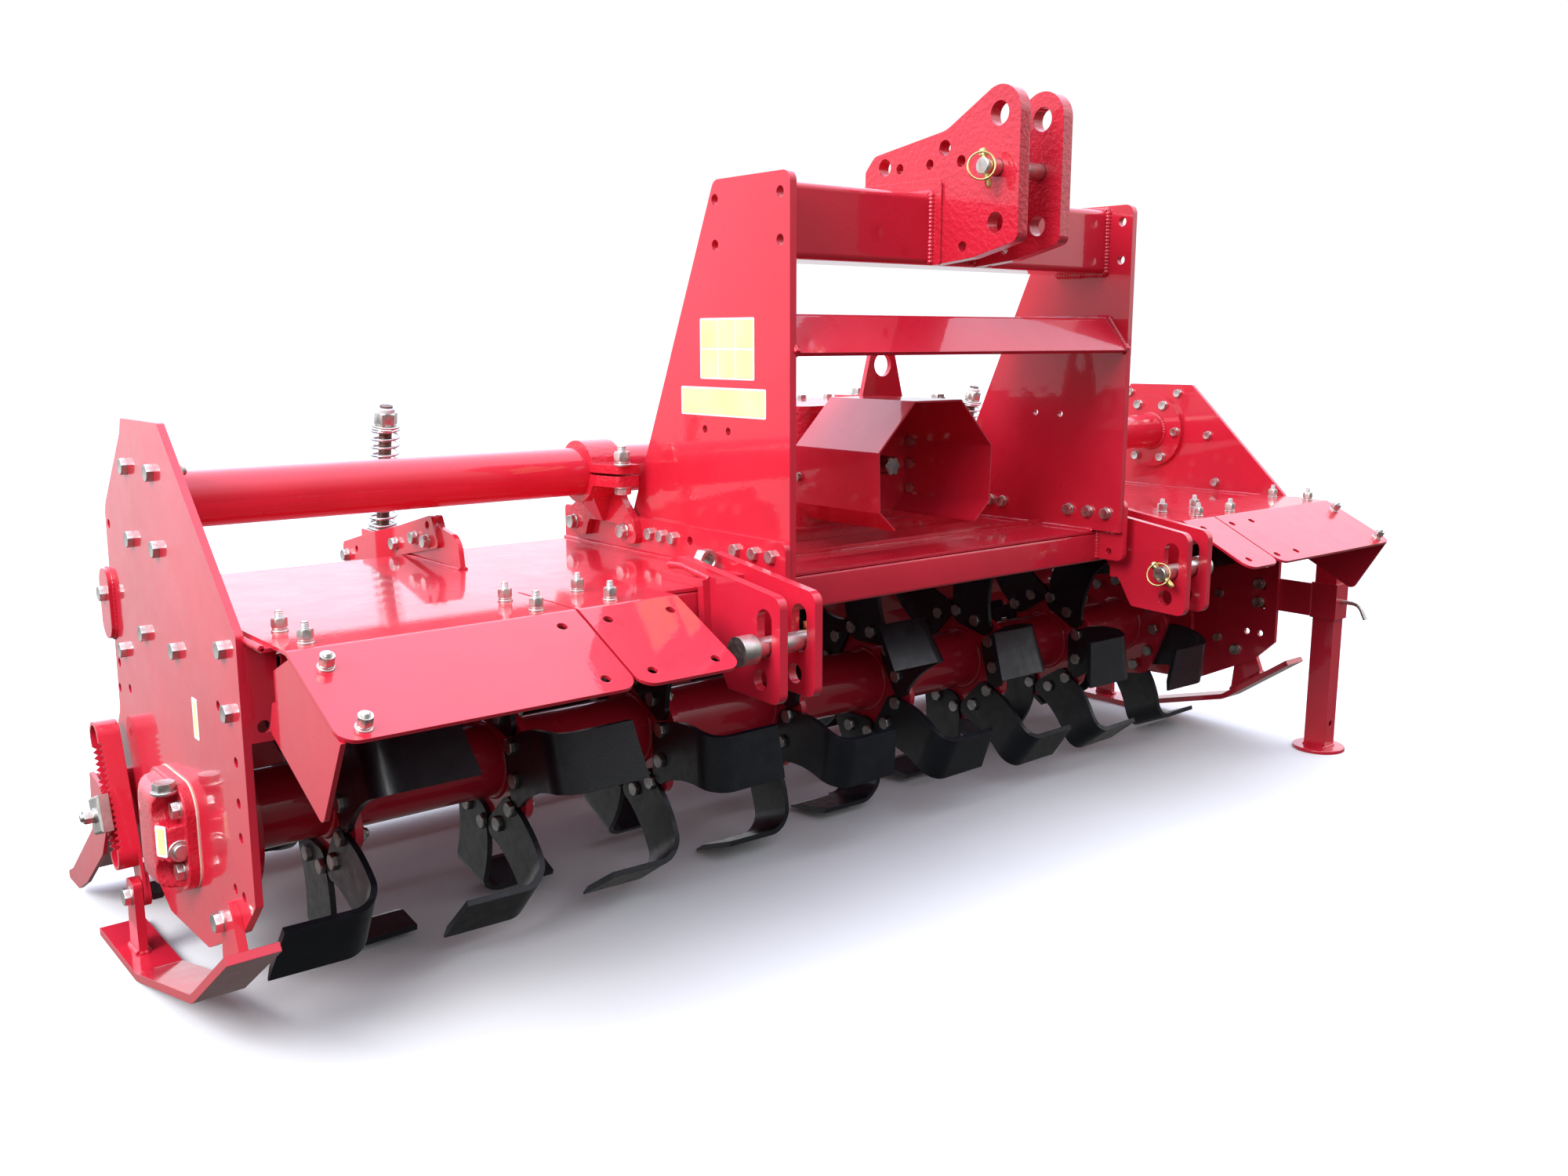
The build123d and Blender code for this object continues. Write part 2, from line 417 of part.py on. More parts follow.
# ---- spring rods and the brackets that guide them ----
lean = math.degrees(math.atan2(ROD_FOOT[0] - ROD_HEAD[0], ROD_HEAD[1] - ROD_FOOT[1]))
rod_length = math.dist(ROD_FOOT, ROD_HEAD)
rod = Pos(ROD_X, *ROD_FOOT) * Rot(lean, 0, 0) * (Pos(0, 0, rod_length / 2) * Cylinder(10, rod_length))
rod += cyl_x(ROD_X - 14, ROD_X + 14, *ROD_FOOT, 15)
add("spring_rod_right", rod)
add("spring_rod_left", mirrored(rod))
STRAP_T = 6.0
ARM_OUTLINE = [(-2, DECK_TOP), (6, 616, 30), (84, 630), (236, 598, 6), (238, 548, 6), (212.2, 549), (205, DECK_TOP)]
STRAP_SIDE = [(60, 595, 8), (84, 645, 8), (402, 568, 10), (402, 527, 10)]
STRAP_HOLES = [(98, 627, 7), (342, 562, 6)]
strap_plan = [(ROD_X + 4, 50), (ROD_X + 4, 228, 12), (ROD_X + 22, 262, 12 + STRAP_T), (ROD_X + 22, 410),
              (ROD_X + 22 + STRAP_T, 410), (ROD_X + 22 + STRAP_T, 260.5, 12), (ROD_X + 4 + STRAP_T, 226.5, 12 + STRAP_T),
              (ROD_X + 4 + STRAP_T, 50)]
strap = Pos(0, 0, 500) * extrude(face_of(strap_plan), 180)
strap &= plate_x(STRAP_SIDE, ROD_X, ROD_X + 40, STRAP_HOLES)
bracket = plate_x(ARM_OUTLINE, ROD_X - 4, ROD_X + 4) + strap + mirror(strap, about=Plane.YZ.offset(ROD_X))
bracket += box(ROD_X - 22, ROD_X + 22, 266, 332, 572, 598) - box(ROD_X - 16, ROD_X + 16, 274, 324, 572, 598)
add_pair("rod_brackets", bracket)

# ---- skids, their lugs, toothed struts and clamps ----
SKID_X0, SKID_X1, SKID_T = 1143.0, 1209.0, 12.0
add_pair("skids", bent_sheet([(306, 0), (104, 0), (-177, 76), (-337, 188)], SKID_T, SKID_X0, SKID_X1, bend=30))
FRONT_LUG = [(-262, 153), (-240, 206, 12), (-222, 222, 8), (-196, 206, 12), (-186, 101)]
REAR_LUG = [(166, SKID_T), (169, 122, 10), (206, 124, 10), (215, SKID_T)]
add_pair("skid_lugs", plate_x(FRONT_LUG, PLATE_OUT, PLATE_OUT + 12))
add_pair("skid_lugs", plate_x(REAR_LUG, 1174, 1187))

STRUT_FOOT = (183.0, 100.0)        # bolt at the strut's foot (y, z)
STRUT_LEAN = 20.0
STRUT_W, STRUT_WALL = 25.0, 5.0    # half width, wall
WEB_X, RIM_X = 1168.0, 1200.0
CHANNEL_0, CHANNEL_1 = 66.0, 242.0     # centres of the channel's round ends, along the strut
TOOTH, TOOTH_DEEP = 9.0, 6.0
TEETH = 18
strut = across_x(belt(0, CHANNEL_0, STRUT_W, 0, CHANNEL_1, STRUT_W), WEB_X, RIM_X)
strut -= across_x(belt(0, CHANNEL_0, STRUT_W - STRUT_WALL, 0, CHANNEL_1, STRUT_W - STRUT_WALL), WEB_X + STRUT_WALL, RIM_X)
strut += across_x(belt(0, 0, 19, 0, CHANNEL_0, STRUT_W), WEB_X, WEB_X + STRUT_WALL)
strut += across_x(belt(0, 0, 19, 0, 26, 19), WEB_X - 5, WEB_X)
strut -= cyl_x(WEB_X, WEB_X + STRUT_WALL, 0, CHANNEL_1, 7)
for i in range(TEETH):
    s = CHANNEL_0 + 8 + i * TOOTH
    saw = face_of([(RIM_X - TOOTH_DEEP, s), (RIM_X, s - TOOTH / 2), (RIM_X, s + TOOTH / 2)])
    strut -= extrude(Plane(origin=(0, STRUT_W, 0), x_dir=(1, 0, 0), z_dir=(0, -1, 0)) * saw, 2 * STRUT_W)
CLAMP_S0, CLAMP_S1 = 100.0, 156.0
block = box(RIM_X, RIM_X + 17, -28, 28, CLAMP_S0, CLAMP_S1)
block = chamfer(block.faces().sort_by(Axis.X)[-1].edges(), 3)


def on_strut(shape):
    """Put a piece drawn along Z from the strut's foot into its leaning place."""
    return Pos(0, *STRUT_FOOT) * Rot(-STRUT_LEAN, 0, 0) * shape


add_pair("skid_struts", on_strut(strut))
add_pair("strut_clamps", on_strut(block))

# ---- parking stand: bracket with sleeve, leg with foot, locking pin ----
LEG_X, LEG_Y = 20.0, 25.0          # half sizes of the leg
SLEEVE_Z0, SLEEVE_Z1 = 304.0, 384.0
SLEEVE_WALL = 4.5
gap = 0.5
sleeve = box(STAND_X - 25, STAND_X + 25, STAND_Y - 30, STAND_Y + 30, SLEEVE_Z0, SLEEVE_Z1)
sleeve += box(PLATE_OUT, PLATE_OUT + 5, STAND_Y + 30, -212, SLEEVE_Z0 + 3, SLEEVE_Z1 - 3)
sleeve -= box(STAND_X - LEG_X - gap, STAND_X + LEG_X + gap, STAND_Y - LEG_Y - gap, STAND_Y + LEG_Y + gap,
              SLEEVE_Z0, SLEEVE_Z1)
add("stand_bracket", sleeve)
leg = box(STAND_X - LEG_X, STAND_X + LEG_X, STAND_Y - LEG_Y, STAND_Y + LEG_Y, 8, 465)
leg -= box(STAND_X - LEG_X + 4, STAND_X + LEG_X - 4, STAND_Y - LEG_Y + 4, STAND_Y + LEG_Y - 4, 8, 465)
leg -= cyl_y(STAND_Y - LEG_Y, STAND_Y + LEG_Y, STAND_X, 62, 7)
leg += fillet(cyl_z(0, 8, STAND_X, STAND_Y, 56).edges().sort_by(Axis.Z)[-1], 3)
add("stand_leg", leg)

for name, pieces in nodes.items():
    shape = pieces[0] if len(pieces) == 1 else Compound(children=pieces)
    export_step(shape, f"parts/{name}.step")
print(len(nodes), "nodes")
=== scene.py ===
"""Heavy rotary tiller: finishes, fasteners, welds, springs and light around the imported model.

Metres, X across the machine, +Y to the rear, +Z up. Tables of places are in millimetres.
"""
import json
import math

import bmesh
import bpy
import numpy as np
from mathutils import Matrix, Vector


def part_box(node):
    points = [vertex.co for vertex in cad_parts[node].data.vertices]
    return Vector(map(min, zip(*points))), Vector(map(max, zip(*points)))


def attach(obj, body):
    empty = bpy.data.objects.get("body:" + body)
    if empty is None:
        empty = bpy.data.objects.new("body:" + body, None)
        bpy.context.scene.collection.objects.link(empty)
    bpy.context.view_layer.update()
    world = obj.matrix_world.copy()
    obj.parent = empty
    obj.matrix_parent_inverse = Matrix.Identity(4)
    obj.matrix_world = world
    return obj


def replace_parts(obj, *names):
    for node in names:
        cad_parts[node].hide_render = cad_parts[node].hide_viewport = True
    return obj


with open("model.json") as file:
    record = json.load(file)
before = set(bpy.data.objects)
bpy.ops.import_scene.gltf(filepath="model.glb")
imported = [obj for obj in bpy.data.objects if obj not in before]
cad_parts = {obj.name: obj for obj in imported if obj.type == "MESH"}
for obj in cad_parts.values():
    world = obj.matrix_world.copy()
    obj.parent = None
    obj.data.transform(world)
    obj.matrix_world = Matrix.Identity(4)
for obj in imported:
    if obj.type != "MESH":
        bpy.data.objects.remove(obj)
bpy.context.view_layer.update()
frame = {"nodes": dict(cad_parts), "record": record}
MM = 0.001
SIDES = (-1.0, 1.0)
LEFT, RIGHT, FRONT, UP, DOWN = (-1, 0, 0), (1, 0, 0), (0, -1, 0), (0, 0, 1), (0, 0, -1)

# faces across the machine, in millimetres from its middle, the same on both sides
END_OUT, END_IN = 1158, 1148            # end plate
TUBE_FLANGE = 1136                      # inner face of a cross tube's end flange
RIM_OUT = 1170                          # gear case's rim, and the plate of a skid's lug
MAST_IN, MAST_OUT = 388, 400            # mast plate
UPRIGHT_OUT = 410                       # upright flange of the deck, which starts at the mast plate
SADDLE_OUT = 423                        # foot of a tube saddle
# other measures that several pieces share, in millimetres
DECK_TOP, FLAP_TOP = 567.0, 572.0       # heights of the deck sheet and of the flaps bolted on it
DRIVE_Y, DRIVE_Z = 60.0, 700.0          # axis of the cross tubes and of the gearbox output
ROTOR_Z = 256.0
FLANGE_PITCH, FLANGE_WIDE = 274.8, 12.0
FIRST_TINE, TINE_STEP, TINE_T = -136.0, 13.9, 9.0
BOLT_CIRCLE = 104.0                     # of the tine bolts
ROD_X, ROD_FOOT, ROD_HEAD = 717.0, (352.0, 308.0), (254.0, 806.0)

# ---- shapes: points, quads, triangles


def triples(a, b, c):
    """Rows (a, b, c), where any of the three may be one number for them all."""
    return np.stack(np.broadcast_arrays(a, b, c), axis=-1)


def full_turn(count):
    """Angles of a full turn in equal steps."""
    return np.arange(count) * 2 * np.pi / count


def polar(radius, angle, height):
    """Points at a radius and an angle about Z and at a height."""
    return triples(radius * np.cos(angle), radius * np.sin(angle), height)


def grid_quads(rows, columns, closed_rows=False):
    """Quads between neighbouring rows of a grid whose every row closes on itself."""
    i = np.arange(rows if closed_rows else rows - 1)[:, None]
    j = np.arange(columns)[None, :]
    up, on = (i + 1) % rows, (j + 1) % columns
    corners = [i * columns + j, i * columns + on, up * columns + on, up * columns + j]
    return np.stack(corners, axis=-1).reshape(-1, 4)


def closed_ends(rings):
    """Shape through rings (row, column, xyz) that run counter-clockwise about their way, with a
    fan of triangles from the middle of each end's ring."""
    rows, columns = rings.shape[:2]
    points = np.concatenate([rings.reshape(-1, 3), rings[[0, -1]].mean(axis=1)])
    j = np.arange(columns)
    on = (j + 1) % columns
    first, last = rows * columns, rows * columns + 1
    top = (rows - 1) * columns
    ends = np.concatenate([triples(first, on, j), triples(last, top + j, top + on)])
    return points, grid_quads(rows, columns), ends


def endless(rings):
    """Shape through rings of which the last joins the first."""
    rows, columns = rings.shape[:2]
    return rings.reshape(-1, 3), grid_quads(rows, columns, True), np.zeros((0, 3), int)


def turned(stations, segments=24):
    """Shape turned about Z: at angle a, a station (radius, height, half flats) lies at the smaller
    of its radius and half flats / cos(a within 30 degrees of a flat), so it is round, hexagonal or
    chamfered. A station without flats is round."""
    round_all = 1e6
    table = np.array([(r, z, h[0] if h else round_all) for r, z, *h in stations], float) * MM
    angle = full_turn(segments)
    flat = 1 / np.cos(np.mod(angle, np.pi / 3) - np.pi / 6)
    radius = np.minimum(table[:, 0:1], table[:, 2:3] * flat)
    return closed_ends(polar(radius, angle, table[:, 1:2]))


def copies(shape, places, axis, turns=0.0):
    """The same shape at each place: its Z lies along the axis and it is turned about it by degrees.
    A point is place + side x + other y + ahead z, where side and other are square to the axis."""
    points, quads, triangles = shape
    places = np.asarray(places, float).reshape(-1, 3) * MM
    count = len(places)
    ahead = np.broadcast_to(np.asarray(axis, float), (count, 3))
    ahead = ahead / np.linalg.norm(ahead, axis=1, keepdims=True)
    nearly_upright = np.abs(ahead[:, 2:3]) > 0.9
    helper = np.where(nearly_upright, [[1.0, 0.0, 0.0]], [[0.0, 0.0, 1.0]])
    side = np.cross(helper, ahead)
    side /= np.linalg.norm(side, axis=1, keepdims=True)
    other = np.cross(ahead, side)
    turn = np.broadcast_to(np.radians(turns), (count,))[:, None]
    c, s = np.cos(turn), np.sin(turn)
    frames = np.stack([side * c + other * s, other * c - side * s, ahead], axis=-1)
    moved = np.einsum("nij,pj->npi", frames, points) + places[:, None, :]
    step = np.arange(count)[:, None, None] * len(points)
    all_quads, all_triangles = quads[None] + step, triangles[None] + step
    return moved.reshape(-1, 3), all_quads.reshape(-1, 4), all_triangles.reshape(-1, 3)


def joined(*shapes):
    """Several shapes as one."""
    starts = np.cumsum([0] + [len(shape[0]) for shape in shapes[:-1]])
    return (np.concatenate([shape[0] for shape in shapes]),
            np.concatenate([shape[1] + start for shape, start in zip(shapes, starts)]),
            np.concatenate([shape[2] + start for shape, start in zip(shapes, starts)]))


def both_sides(shape):
    """A shape and its mirror image across the machine, whose faces are turned round to stay
    outward."""
    points, quads, triangles = shape
    return joined(shape, (points * [-1.0, 1.0, 1.0], quads[:, ::-1], triangles[:, ::-1]))


def spaced(corners, step, closed):
    """Points a step apart along straight runs between corners, and how far along each lies, in
    metres."""
    corners = np.asarray(corners, float) * MM
    if closed:
        corners = np.concatenate([corners, corners[:1]])
    runs = np.linalg.norm(np.diff(corners, axis=0), axis=1)
    reach = np.concatenate([[0.0], np.cumsum(runs)])
    count = max(4, int(reach[-1] / (step * MM)))
    along = np.linspace(0.0, reach[-1], count, endpoint=not closed)
    return np.stack([np.interp(along, reach, corners[:, k]) for k in range(3)], axis=-1), along


def hoops(path, ahead, side, radius, sides):
    """Rings round a path: at angle a a ring lies at path + radius (cos a side + sin a across), with
    side and across square to the way ahead."""
    across = np.cross(ahead, side)
    angle = full_turn(sides)[:, None]
    around = np.cos(angle) * side[:, None] + np.sin(angle) * across[:, None]
    return path[:, None] + radius * around


def tube(path, radius, sides, closed=False):
    """Round tube carried along a path, whose own flattest direction keeps the rings from
    twisting."""
    if closed:
        ahead = np.roll(path, -1, axis=0) - np.roll(path, 1, axis=0)
    else:
        ahead = np.gradient(path, axis=0)
    ahead = ahead / np.linalg.norm(ahead, axis=1, keepdims=True)
    middle = path - path.mean(axis=0)
    flattest = np.linalg.svd(middle, full_matrices=False)[2][-1]
    side = np.cross(ahead, flattest)
    side /= np.linalg.norm(side, axis=1, keepdims=True)
    radius = np.broadcast_to(radius, len(path))[:, None, None]
    rings = hoops(path, ahead, side, radius, sides)
    return endless(rings) if closed else closed_ends(rings)


def slab(outline, u, v, low, high, origin):
    """Plate: an outline's point (a, b) lies at origin + a u + b v + h (u x v), once with h low and
    once with h high."""
    outline = np.asarray(outline, float)
    u, v = np.asarray(u, float), np.asarray(v, float)
    ahead = np.cross(u, v)
    flat = outline[:, :1] * u + outline[:, 1:] * v
    rings = [(flat + h * ahead + np.asarray(origin)) * MM for h in (low, high)]
    return closed_ends(np.stack(rings))


def rounded(width, height, radius, steps=6):
    """Outline of a rectangle round the origin with round corners, counter-clockwise."""
    angle = np.linspace(0, np.pi / 2, steps)
    quarter = radius * np.stack([np.cos(angle), np.sin(angle)], axis=-1)
    a, b = width / 2 - radius, height / 2 - radius
    turn = np.array([[0.0, 1.0], [-1.0, 0.0]])
    corners = ((a, b), (-a, b), (-a, -b), (a, -b))
    return np.concatenate([quarter @ np.linalg.matrix_power(turn, k) + corner
                           for k, corner in enumerate(corners)])


def circle(radius, x, y, z, count):
    """Closed circle about an axis along X, as millimetre points."""
    angle = full_turn(count)
    return triples(float(x), y + radius * np.cos(angle), z + radius * np.sin(angle))


def round_corners(corners, steps=7):
    """Outline through corners (a, b) or (a, b, radius): a rounded corner is an arc between the
    points where it touches the two straight edges."""
    points = []
    for k, (a, b, *radius) in enumerate(corners):
        at = np.array([a, b], float)
        if not radius:
            points.append(at[None])
            continue
        back = np.array(corners[k - 1][:2], float) - at
        on = np.array(corners[(k + 1) % len(corners)][:2], float) - at
        back, on = back / np.linalg.norm(back), on / np.linalg.norm(on)
        half = math.acos(np.clip(back @ on, -1, 1)) / 2
        middle = at + (back + on) / np.linalg.norm(back + on) * radius[0] / math.sin(half)
        touch = [at + way * radius[0] / math.tan(half) - middle for way in (back, on)]
        t = np.linspace(0, 1, steps)[:, None]
        arc = touch[0] * (1 - t) + touch[1] * t
        points.append(middle + arc / np.linalg.norm(arc, axis=1, keepdims=True) * radius[0])
    return np.concatenate(points)


def shown(name, data):
    """An object of the given data, in the scene."""
    made = bpy.data.objects.new(name, data)
    bpy.context.scene.collection.objects.link(made)
    return made


def placed(name, mesh, finish, body, smooth):
    """An object for a mesh that rides on a body, smooth where faces meet at less than the angle."""
    mesh.polygons.foreach_set("use_smooth", np.ones(len(mesh.polygons), dtype=bool))
    mesh.set_sharp_from_angle(angle=math.radians(smooth))
    mesh.materials.append(finish)
    made = shown(name, mesh)
    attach(made, body)
    return made


def piece(name, shape, finish, body="frame", smooth=32.0):
    """Puts a shape into a mesh and places it."""
    points, quads, triangles = shape
    mesh = bpy.data.meshes.new(name)
    mesh.vertices.add(len(points))
    mesh.vertices.foreach_set("co", np.ascontiguousarray(points, dtype=np.float32).ravel())
    corners = np.concatenate([quads.ravel(), triangles.ravel()]).astype(np.int32)
    quad_starts = np.arange(len(quads)) * 4
    starts = np.concatenate([quad_starts, len(quads) * 4 + np.arange(len(triangles)) * 3])
    mesh.loops.add(len(corners))
    mesh.loops.foreach_set("vertex_index", corners)
    mesh.polygons.add(len(starts))
    mesh.polygons.foreach_set("loop_start", starts.astype(np.int32))
    mesh.update(calc_edges=True)
    mesh.validate()
    return placed(name, mesh, finish, body, smooth)


def punched_plates(name, outline, holes, spans, finish):
    """Plates across X: a flat curve of an outline (y, z) with round holes (y, z, radius) is filled
    and thickened, and a copy is laid into each span of X."""
    curve = bpy.data.curves.new(name + "_outline", "CURVE")
    curve.dimensions, curve.fill_mode = "2D", "BOTH"
    curve.extrude = (spans[0][1] - spans[0][0]) / 2 * MM
    for loop in [outline] + [circle(r, 0, y, z, 28)[:, 1:] for y, z, r in holes]:
        spline = curve.splines.new("POLY")
        spline.points.add(len(loop) - 1)
        points = np.column_stack([loop * MM, np.zeros(len(loop)), np.ones(len(loop))])
        spline.points.foreach_set("co", points.ravel())
        spline.use_cyclic_u = True
    holder = bpy.data.objects.new(name + "_outline", curve)
    mesh = bpy.data.meshes.new_from_object(holder)
    bpy.data.objects.remove(holder)
    flat = np.empty(len(mesh.vertices) * 3)
    mesh.vertices.foreach_get("co", flat)
    flat = flat.reshape(-1, 3)
    tree = bmesh.new()
    for low, high in spans:
        across = flat[:, 2] + (low + high) / 2 * MM
        mesh.vertices.foreach_set("co", triples(across, flat[:, 0], flat[:, 1]).ravel())
        tree.from_mesh(mesh)
    bmesh.ops.remove_doubles(tree, verts=tree.verts, dist=1e-5)
    bmesh.ops.recalc_face_normals(tree, faces=tree.faces)
    tree.to_mesh(mesh)
    tree.free()
    mesh.materials.clear()
    return placed(name, mesh, finish, "frame", 32.0)


# ---- node helpers


def set_sockets(node, **values):
    """Sets numbers on a node's own sockets, whose names are written with _ for a space."""
    for socket, value in values.items():
        node.inputs[socket.replace("_", " ")].default_value = value
    return node


def new_node(tree, kind, **values):
    """A new shader node with numbers on its own sockets."""
    return set_sockets(tree.nodes.new("ShaderNode" + kind), **values)


def new_material(name):
    """A material, its node tree, its principled shader, and object coordinates, which are the
    machine's own metres."""
    material = bpy.data.materials.new(name)
    material.use_nodes = True
    tree = material.node_tree
    tree.nodes.clear()
    output = new_node(tree, "OutputMaterial")
    shader = new_node(tree, "BsdfPrincipled")
    tree.links.new(shader.outputs["BSDF"], output.inputs["Surface"])
    return material, tree, shader, new_node(tree, "TexCoord").outputs["Object"]


def noise(tree, coords, scale, detail=4.0, roughness=0.5):
    """Fractal noise of the given scale, in waves per metre."""
    node = new_node(tree, "TexNoise", Scale=scale, Detail=detail, Roughness=roughness)
    tree.links.new(coords, node.inputs["Vector"])
    return node.outputs["Fac"]


def ramp(tree, value, stops):
    """Colour ramp through (position, colour) stops."""
    node = new_node(tree, "ValToRGB")
    elements = node.color_ramp.elements
    while len(elements) < len(stops):
        elements.new(0.5)
    for element, (position, colour) in zip(elements, stops):
        element.position = position
        element.color = (*colour, 1.0)
    tree.links.new(value, node.inputs["Fac"])
    return node.outputs["Color"]


def remap(tree, value, low, high):
    """Maps the middle of the noise's range onto low to high."""
    node = new_node(tree, "MapRange", From_Min=0.3, From_Max=0.7, To_Min=low, To_Max=high)
    tree.links.new(value, node.inputs["Value"])
    return node.outputs["Result"]


def bump(tree, height, distance, under):
    """Normal of a bump of the given height in metres, on top of another normal."""
    node = new_node(tree, "Bump", Distance=distance)
    tree.links.new(height, node.inputs["Height"])
    tree.links.new(under, node.inputs["Normal"])
    return node.outputs["Normal"]


def soft_edges(tree, radius):
    """Normal that rounds sharp edges to the given radius in metres."""
    node = new_node(tree, "Bevel", Radius=radius)
    node.samples = 3
    return node.outputs["Normal"]


# ---- finishes


def clouded(name, clouds, stops, waves, rough):
    """A material whose colour drifts through the stops in clouds of noise, and whose roughness
    varies between low and high in waves per metre."""
    material, tree, shader, coords = new_material(name)
    colour = ramp(tree, noise(tree, coords, *clouds), stops)
    tree.links.new(colour, shader.inputs["Base Color"])
    tree.links.new(remap(tree, noise(tree, coords, waves), *rough), shader.inputs["Roughness"])
    return material, tree, shader, coords


def red_paint(name, deep, bright, rough, grain):
    """Glossy red paint: a red that varies a little in wide clouds, paint drawn over the edges,
    orange peel a few millimetres across in a clear coat, and the grain of the metal under it."""
    edge_radius, peel_waves, peel_height = 0.0014, 170.0, 0.00006
    tones = [(0.32, deep), (0.68, bright)]
    material, tree, shader, coords = clouded(name, (3.0, 5.0, 0.6), tones, 22.0, rough)
    set_sockets(shader, Coat_Weight=1.0, Coat_Roughness=0.035, Coat_IOR=1.48,
                Specular_IOR_Level=0.25)
    edges = soft_edges(tree, edge_radius)
    under = bump(tree, noise(tree, coords, grain[0], 3.0, 0.55), grain[1], edges)
    tree.links.new(under, shader.inputs["Normal"])
    peel = bump(tree, noise(tree, coords, peel_waves, 2.0, 0.5), peel_height, edges)
    tree.links.new(peel, shader.inputs["Coat Normal"])
    return material


def bare_metal(name, dark, pale, rough, grain):
    """Metal of a cloudy grey between two tones, with softened edges and a fine grain."""
    tones = [(0.3, dark), (0.7, pale)]
    material, tree, shader, coords = clouded(name, (45.0,), tones, 160.0, rough)
    set_sockets(shader, Metallic=1.0)
    grained = noise(tree, coords, grain[0], 3.0)
    tree.links.new(bump(tree, grained, grain[1], soft_edges(tree, 0.0006)), shader.inputs["Normal"])
    return material


def plain_finish(name, dark, pale, rough, grain, coat=0.0):
    """Paint or plastic of one colour that varies a little, with soft edges, a grain and a coat."""
    tones = [(0.3, dark), (0.72, pale)]
    material, tree, shader, coords = clouded(name, (18.0, 6.0), tones, 55.0, rough)
    set_sockets(shader, Coat_Weight=coat, Coat_Roughness=0.2)
    grained = noise(tree, coords, grain[0], 5.0)
    tree.links.new(bump(tree, grained, grain[1], soft_edges(tree, 0.0010)), shader.inputs["Normal"])
    return material


# name, darker and lighter tone, roughness from low to high, grain (waves per metre, height in
# metres), and a plain finish's coat
RED, CAST_RED, WELD_RED = (red_paint(*row) for row in [
    ("red_paint", (0.57, 0.012, 0.031), (0.70, 0.019, 0.047), (0.26, 0.38), (60.0, 0.0002)),
    ("cast_red_paint", (0.55, 0.011, 0.028), (0.68, 0.017, 0.044), (0.3, 0.45), (130.0, 0.0026)),
    ("weld_red_paint", (0.54, 0.008, 0.026), (0.67, 0.015, 0.042), (0.2, 0.34), (500.0, 0.0002)),
])
ZINC, DULL_ZINC, YELLOW_ZINC, MACHINED, SPRING_STEEL, OILED_THREAD = (bare_metal(*row) for row in [
    ("zinc_plate", (0.52, 0.50, 0.46), (0.72, 0.70, 0.65), (0.28, 0.44), (700.0, 0.00008)),
    ("dull_zinc", (0.34, 0.34, 0.33), (0.56, 0.55, 0.52), (0.34, 0.52), (600.0, 0.0001)),
    ("yellow_zinc", (0.60, 0.44, 0.14), (0.80, 0.66, 0.30), (0.24, 0.40), (500.0, 0.00006)),
    ("machined_steel", (0.26, 0.26, 0.26), (0.44, 0.44, 0.43), (0.25, 0.4), (900.0, 0.00006)),
    ("spring_steel", (0.56, 0.56, 0.57), (0.80, 0.80, 0.79), (0.2, 0.34), (800.0, 0.00005)),
    ("oiled_thread", (0.11, 0.06, 0.05), (0.24, 0.15, 0.12), (0.3, 0.5), (500.0, 0.0001)),
])
BLADE, BLACK_STEEL, GASKET, NYLON, SIGN_WHITE, SIGN_YELLOW = (plain_finish(*row) for row in [
    ("blade_black", (0.0030, 0.0042, 0.0074), (0.0090, 0.0115, 0.0180), (0.30, 0.46),
     (320.0, 0.0003), 0.15),
    ("black_steel", (0.010, 0.010, 0.012), (0.022, 0.022, 0.025), (0.3, 0.42),
     (600.0, 0.0001), 0.2),
    ("gasket_seam", (0.70, 0.66, 0.50), (0.86, 0.83, 0.70), (0.5, 0.65), (700.0, 0.0002)),
    ("pale_nylon", (0.66, 0.69, 0.72), (0.80, 0.83, 0.86), (0.35, 0.45), (300.0, 0.00005)),
    ("sign_white", (0.80, 0.80, 0.78), (0.88, 0.88, 0.86), (0.32, 0.42), (300.0, 0.00003), 0.3),
    ("sign_yellow", (0.84, 0.78, 0.30), (0.90, 0.85, 0.42), (0.32, 0.42), (300.0, 0.00003), 0.3),
])

FINISH_OF_SLOT = {"red_paint": RED, "cast_red": CAST_RED, "zinc_steel": ZINC,
                  "bright_steel": MACHINED, "black_blade": BLADE}
for part in frame["record"]["subparts"]:
    node = frame["nodes"][part["node"]]
    node.data.materials.clear()
    node.data.materials.append(FINISH_OF_SLOT[part["material_slot"]])

# ---- mast plates and front beam
#               (y, z) or (y, z, radius)
MAST_OUTLINE = [(-410, 568), (-410, 1152, 16), (-232, 1152, 16), (-54, 757), (8, 617), (8, 568)]
#               (y, z, radius)
MAST_HOLES = [(-235, 1123, 8), (-388, 1123, 8), (-235, 1057, 8), (-388, 1057, 8),
              (-205, 781, 6), (-264, 780, 6)]
MAST_SPANS = [(-MAST_OUT, -MAST_IN), (MAST_IN, MAST_OUT)]
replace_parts(punched_plates("mast_plates", round_corners(MAST_OUTLINE), MAST_HOLES, MAST_SPANS, RED),
            "mast_plate_left", "mast_plate_right")


def square_tube(width, wall, radius, reach, y, z):
    """Square tube along X about (y, z): its outer outline is carried from end to end and its inner
    one back again."""
    inside = width - 2 * wall
    outer, inner = rounded(width, width, radius), rounded(inside, inside, radius - wall + 2.0)
    rows = [(outer, -reach), (outer, reach), (inner, reach), (inner, -reach)]
    rings = [triples(x, outline[:, 0] + y, outline[:, 1] + z) for outline, x in rows]
    return endless(np.stack(rings) * MM)


front_tube = square_tube(width=55, wall=5, radius=6, reach=1108, y=-324.5, z=534.5)
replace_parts(piece("front_tube", front_tube, RED), "front_beam")

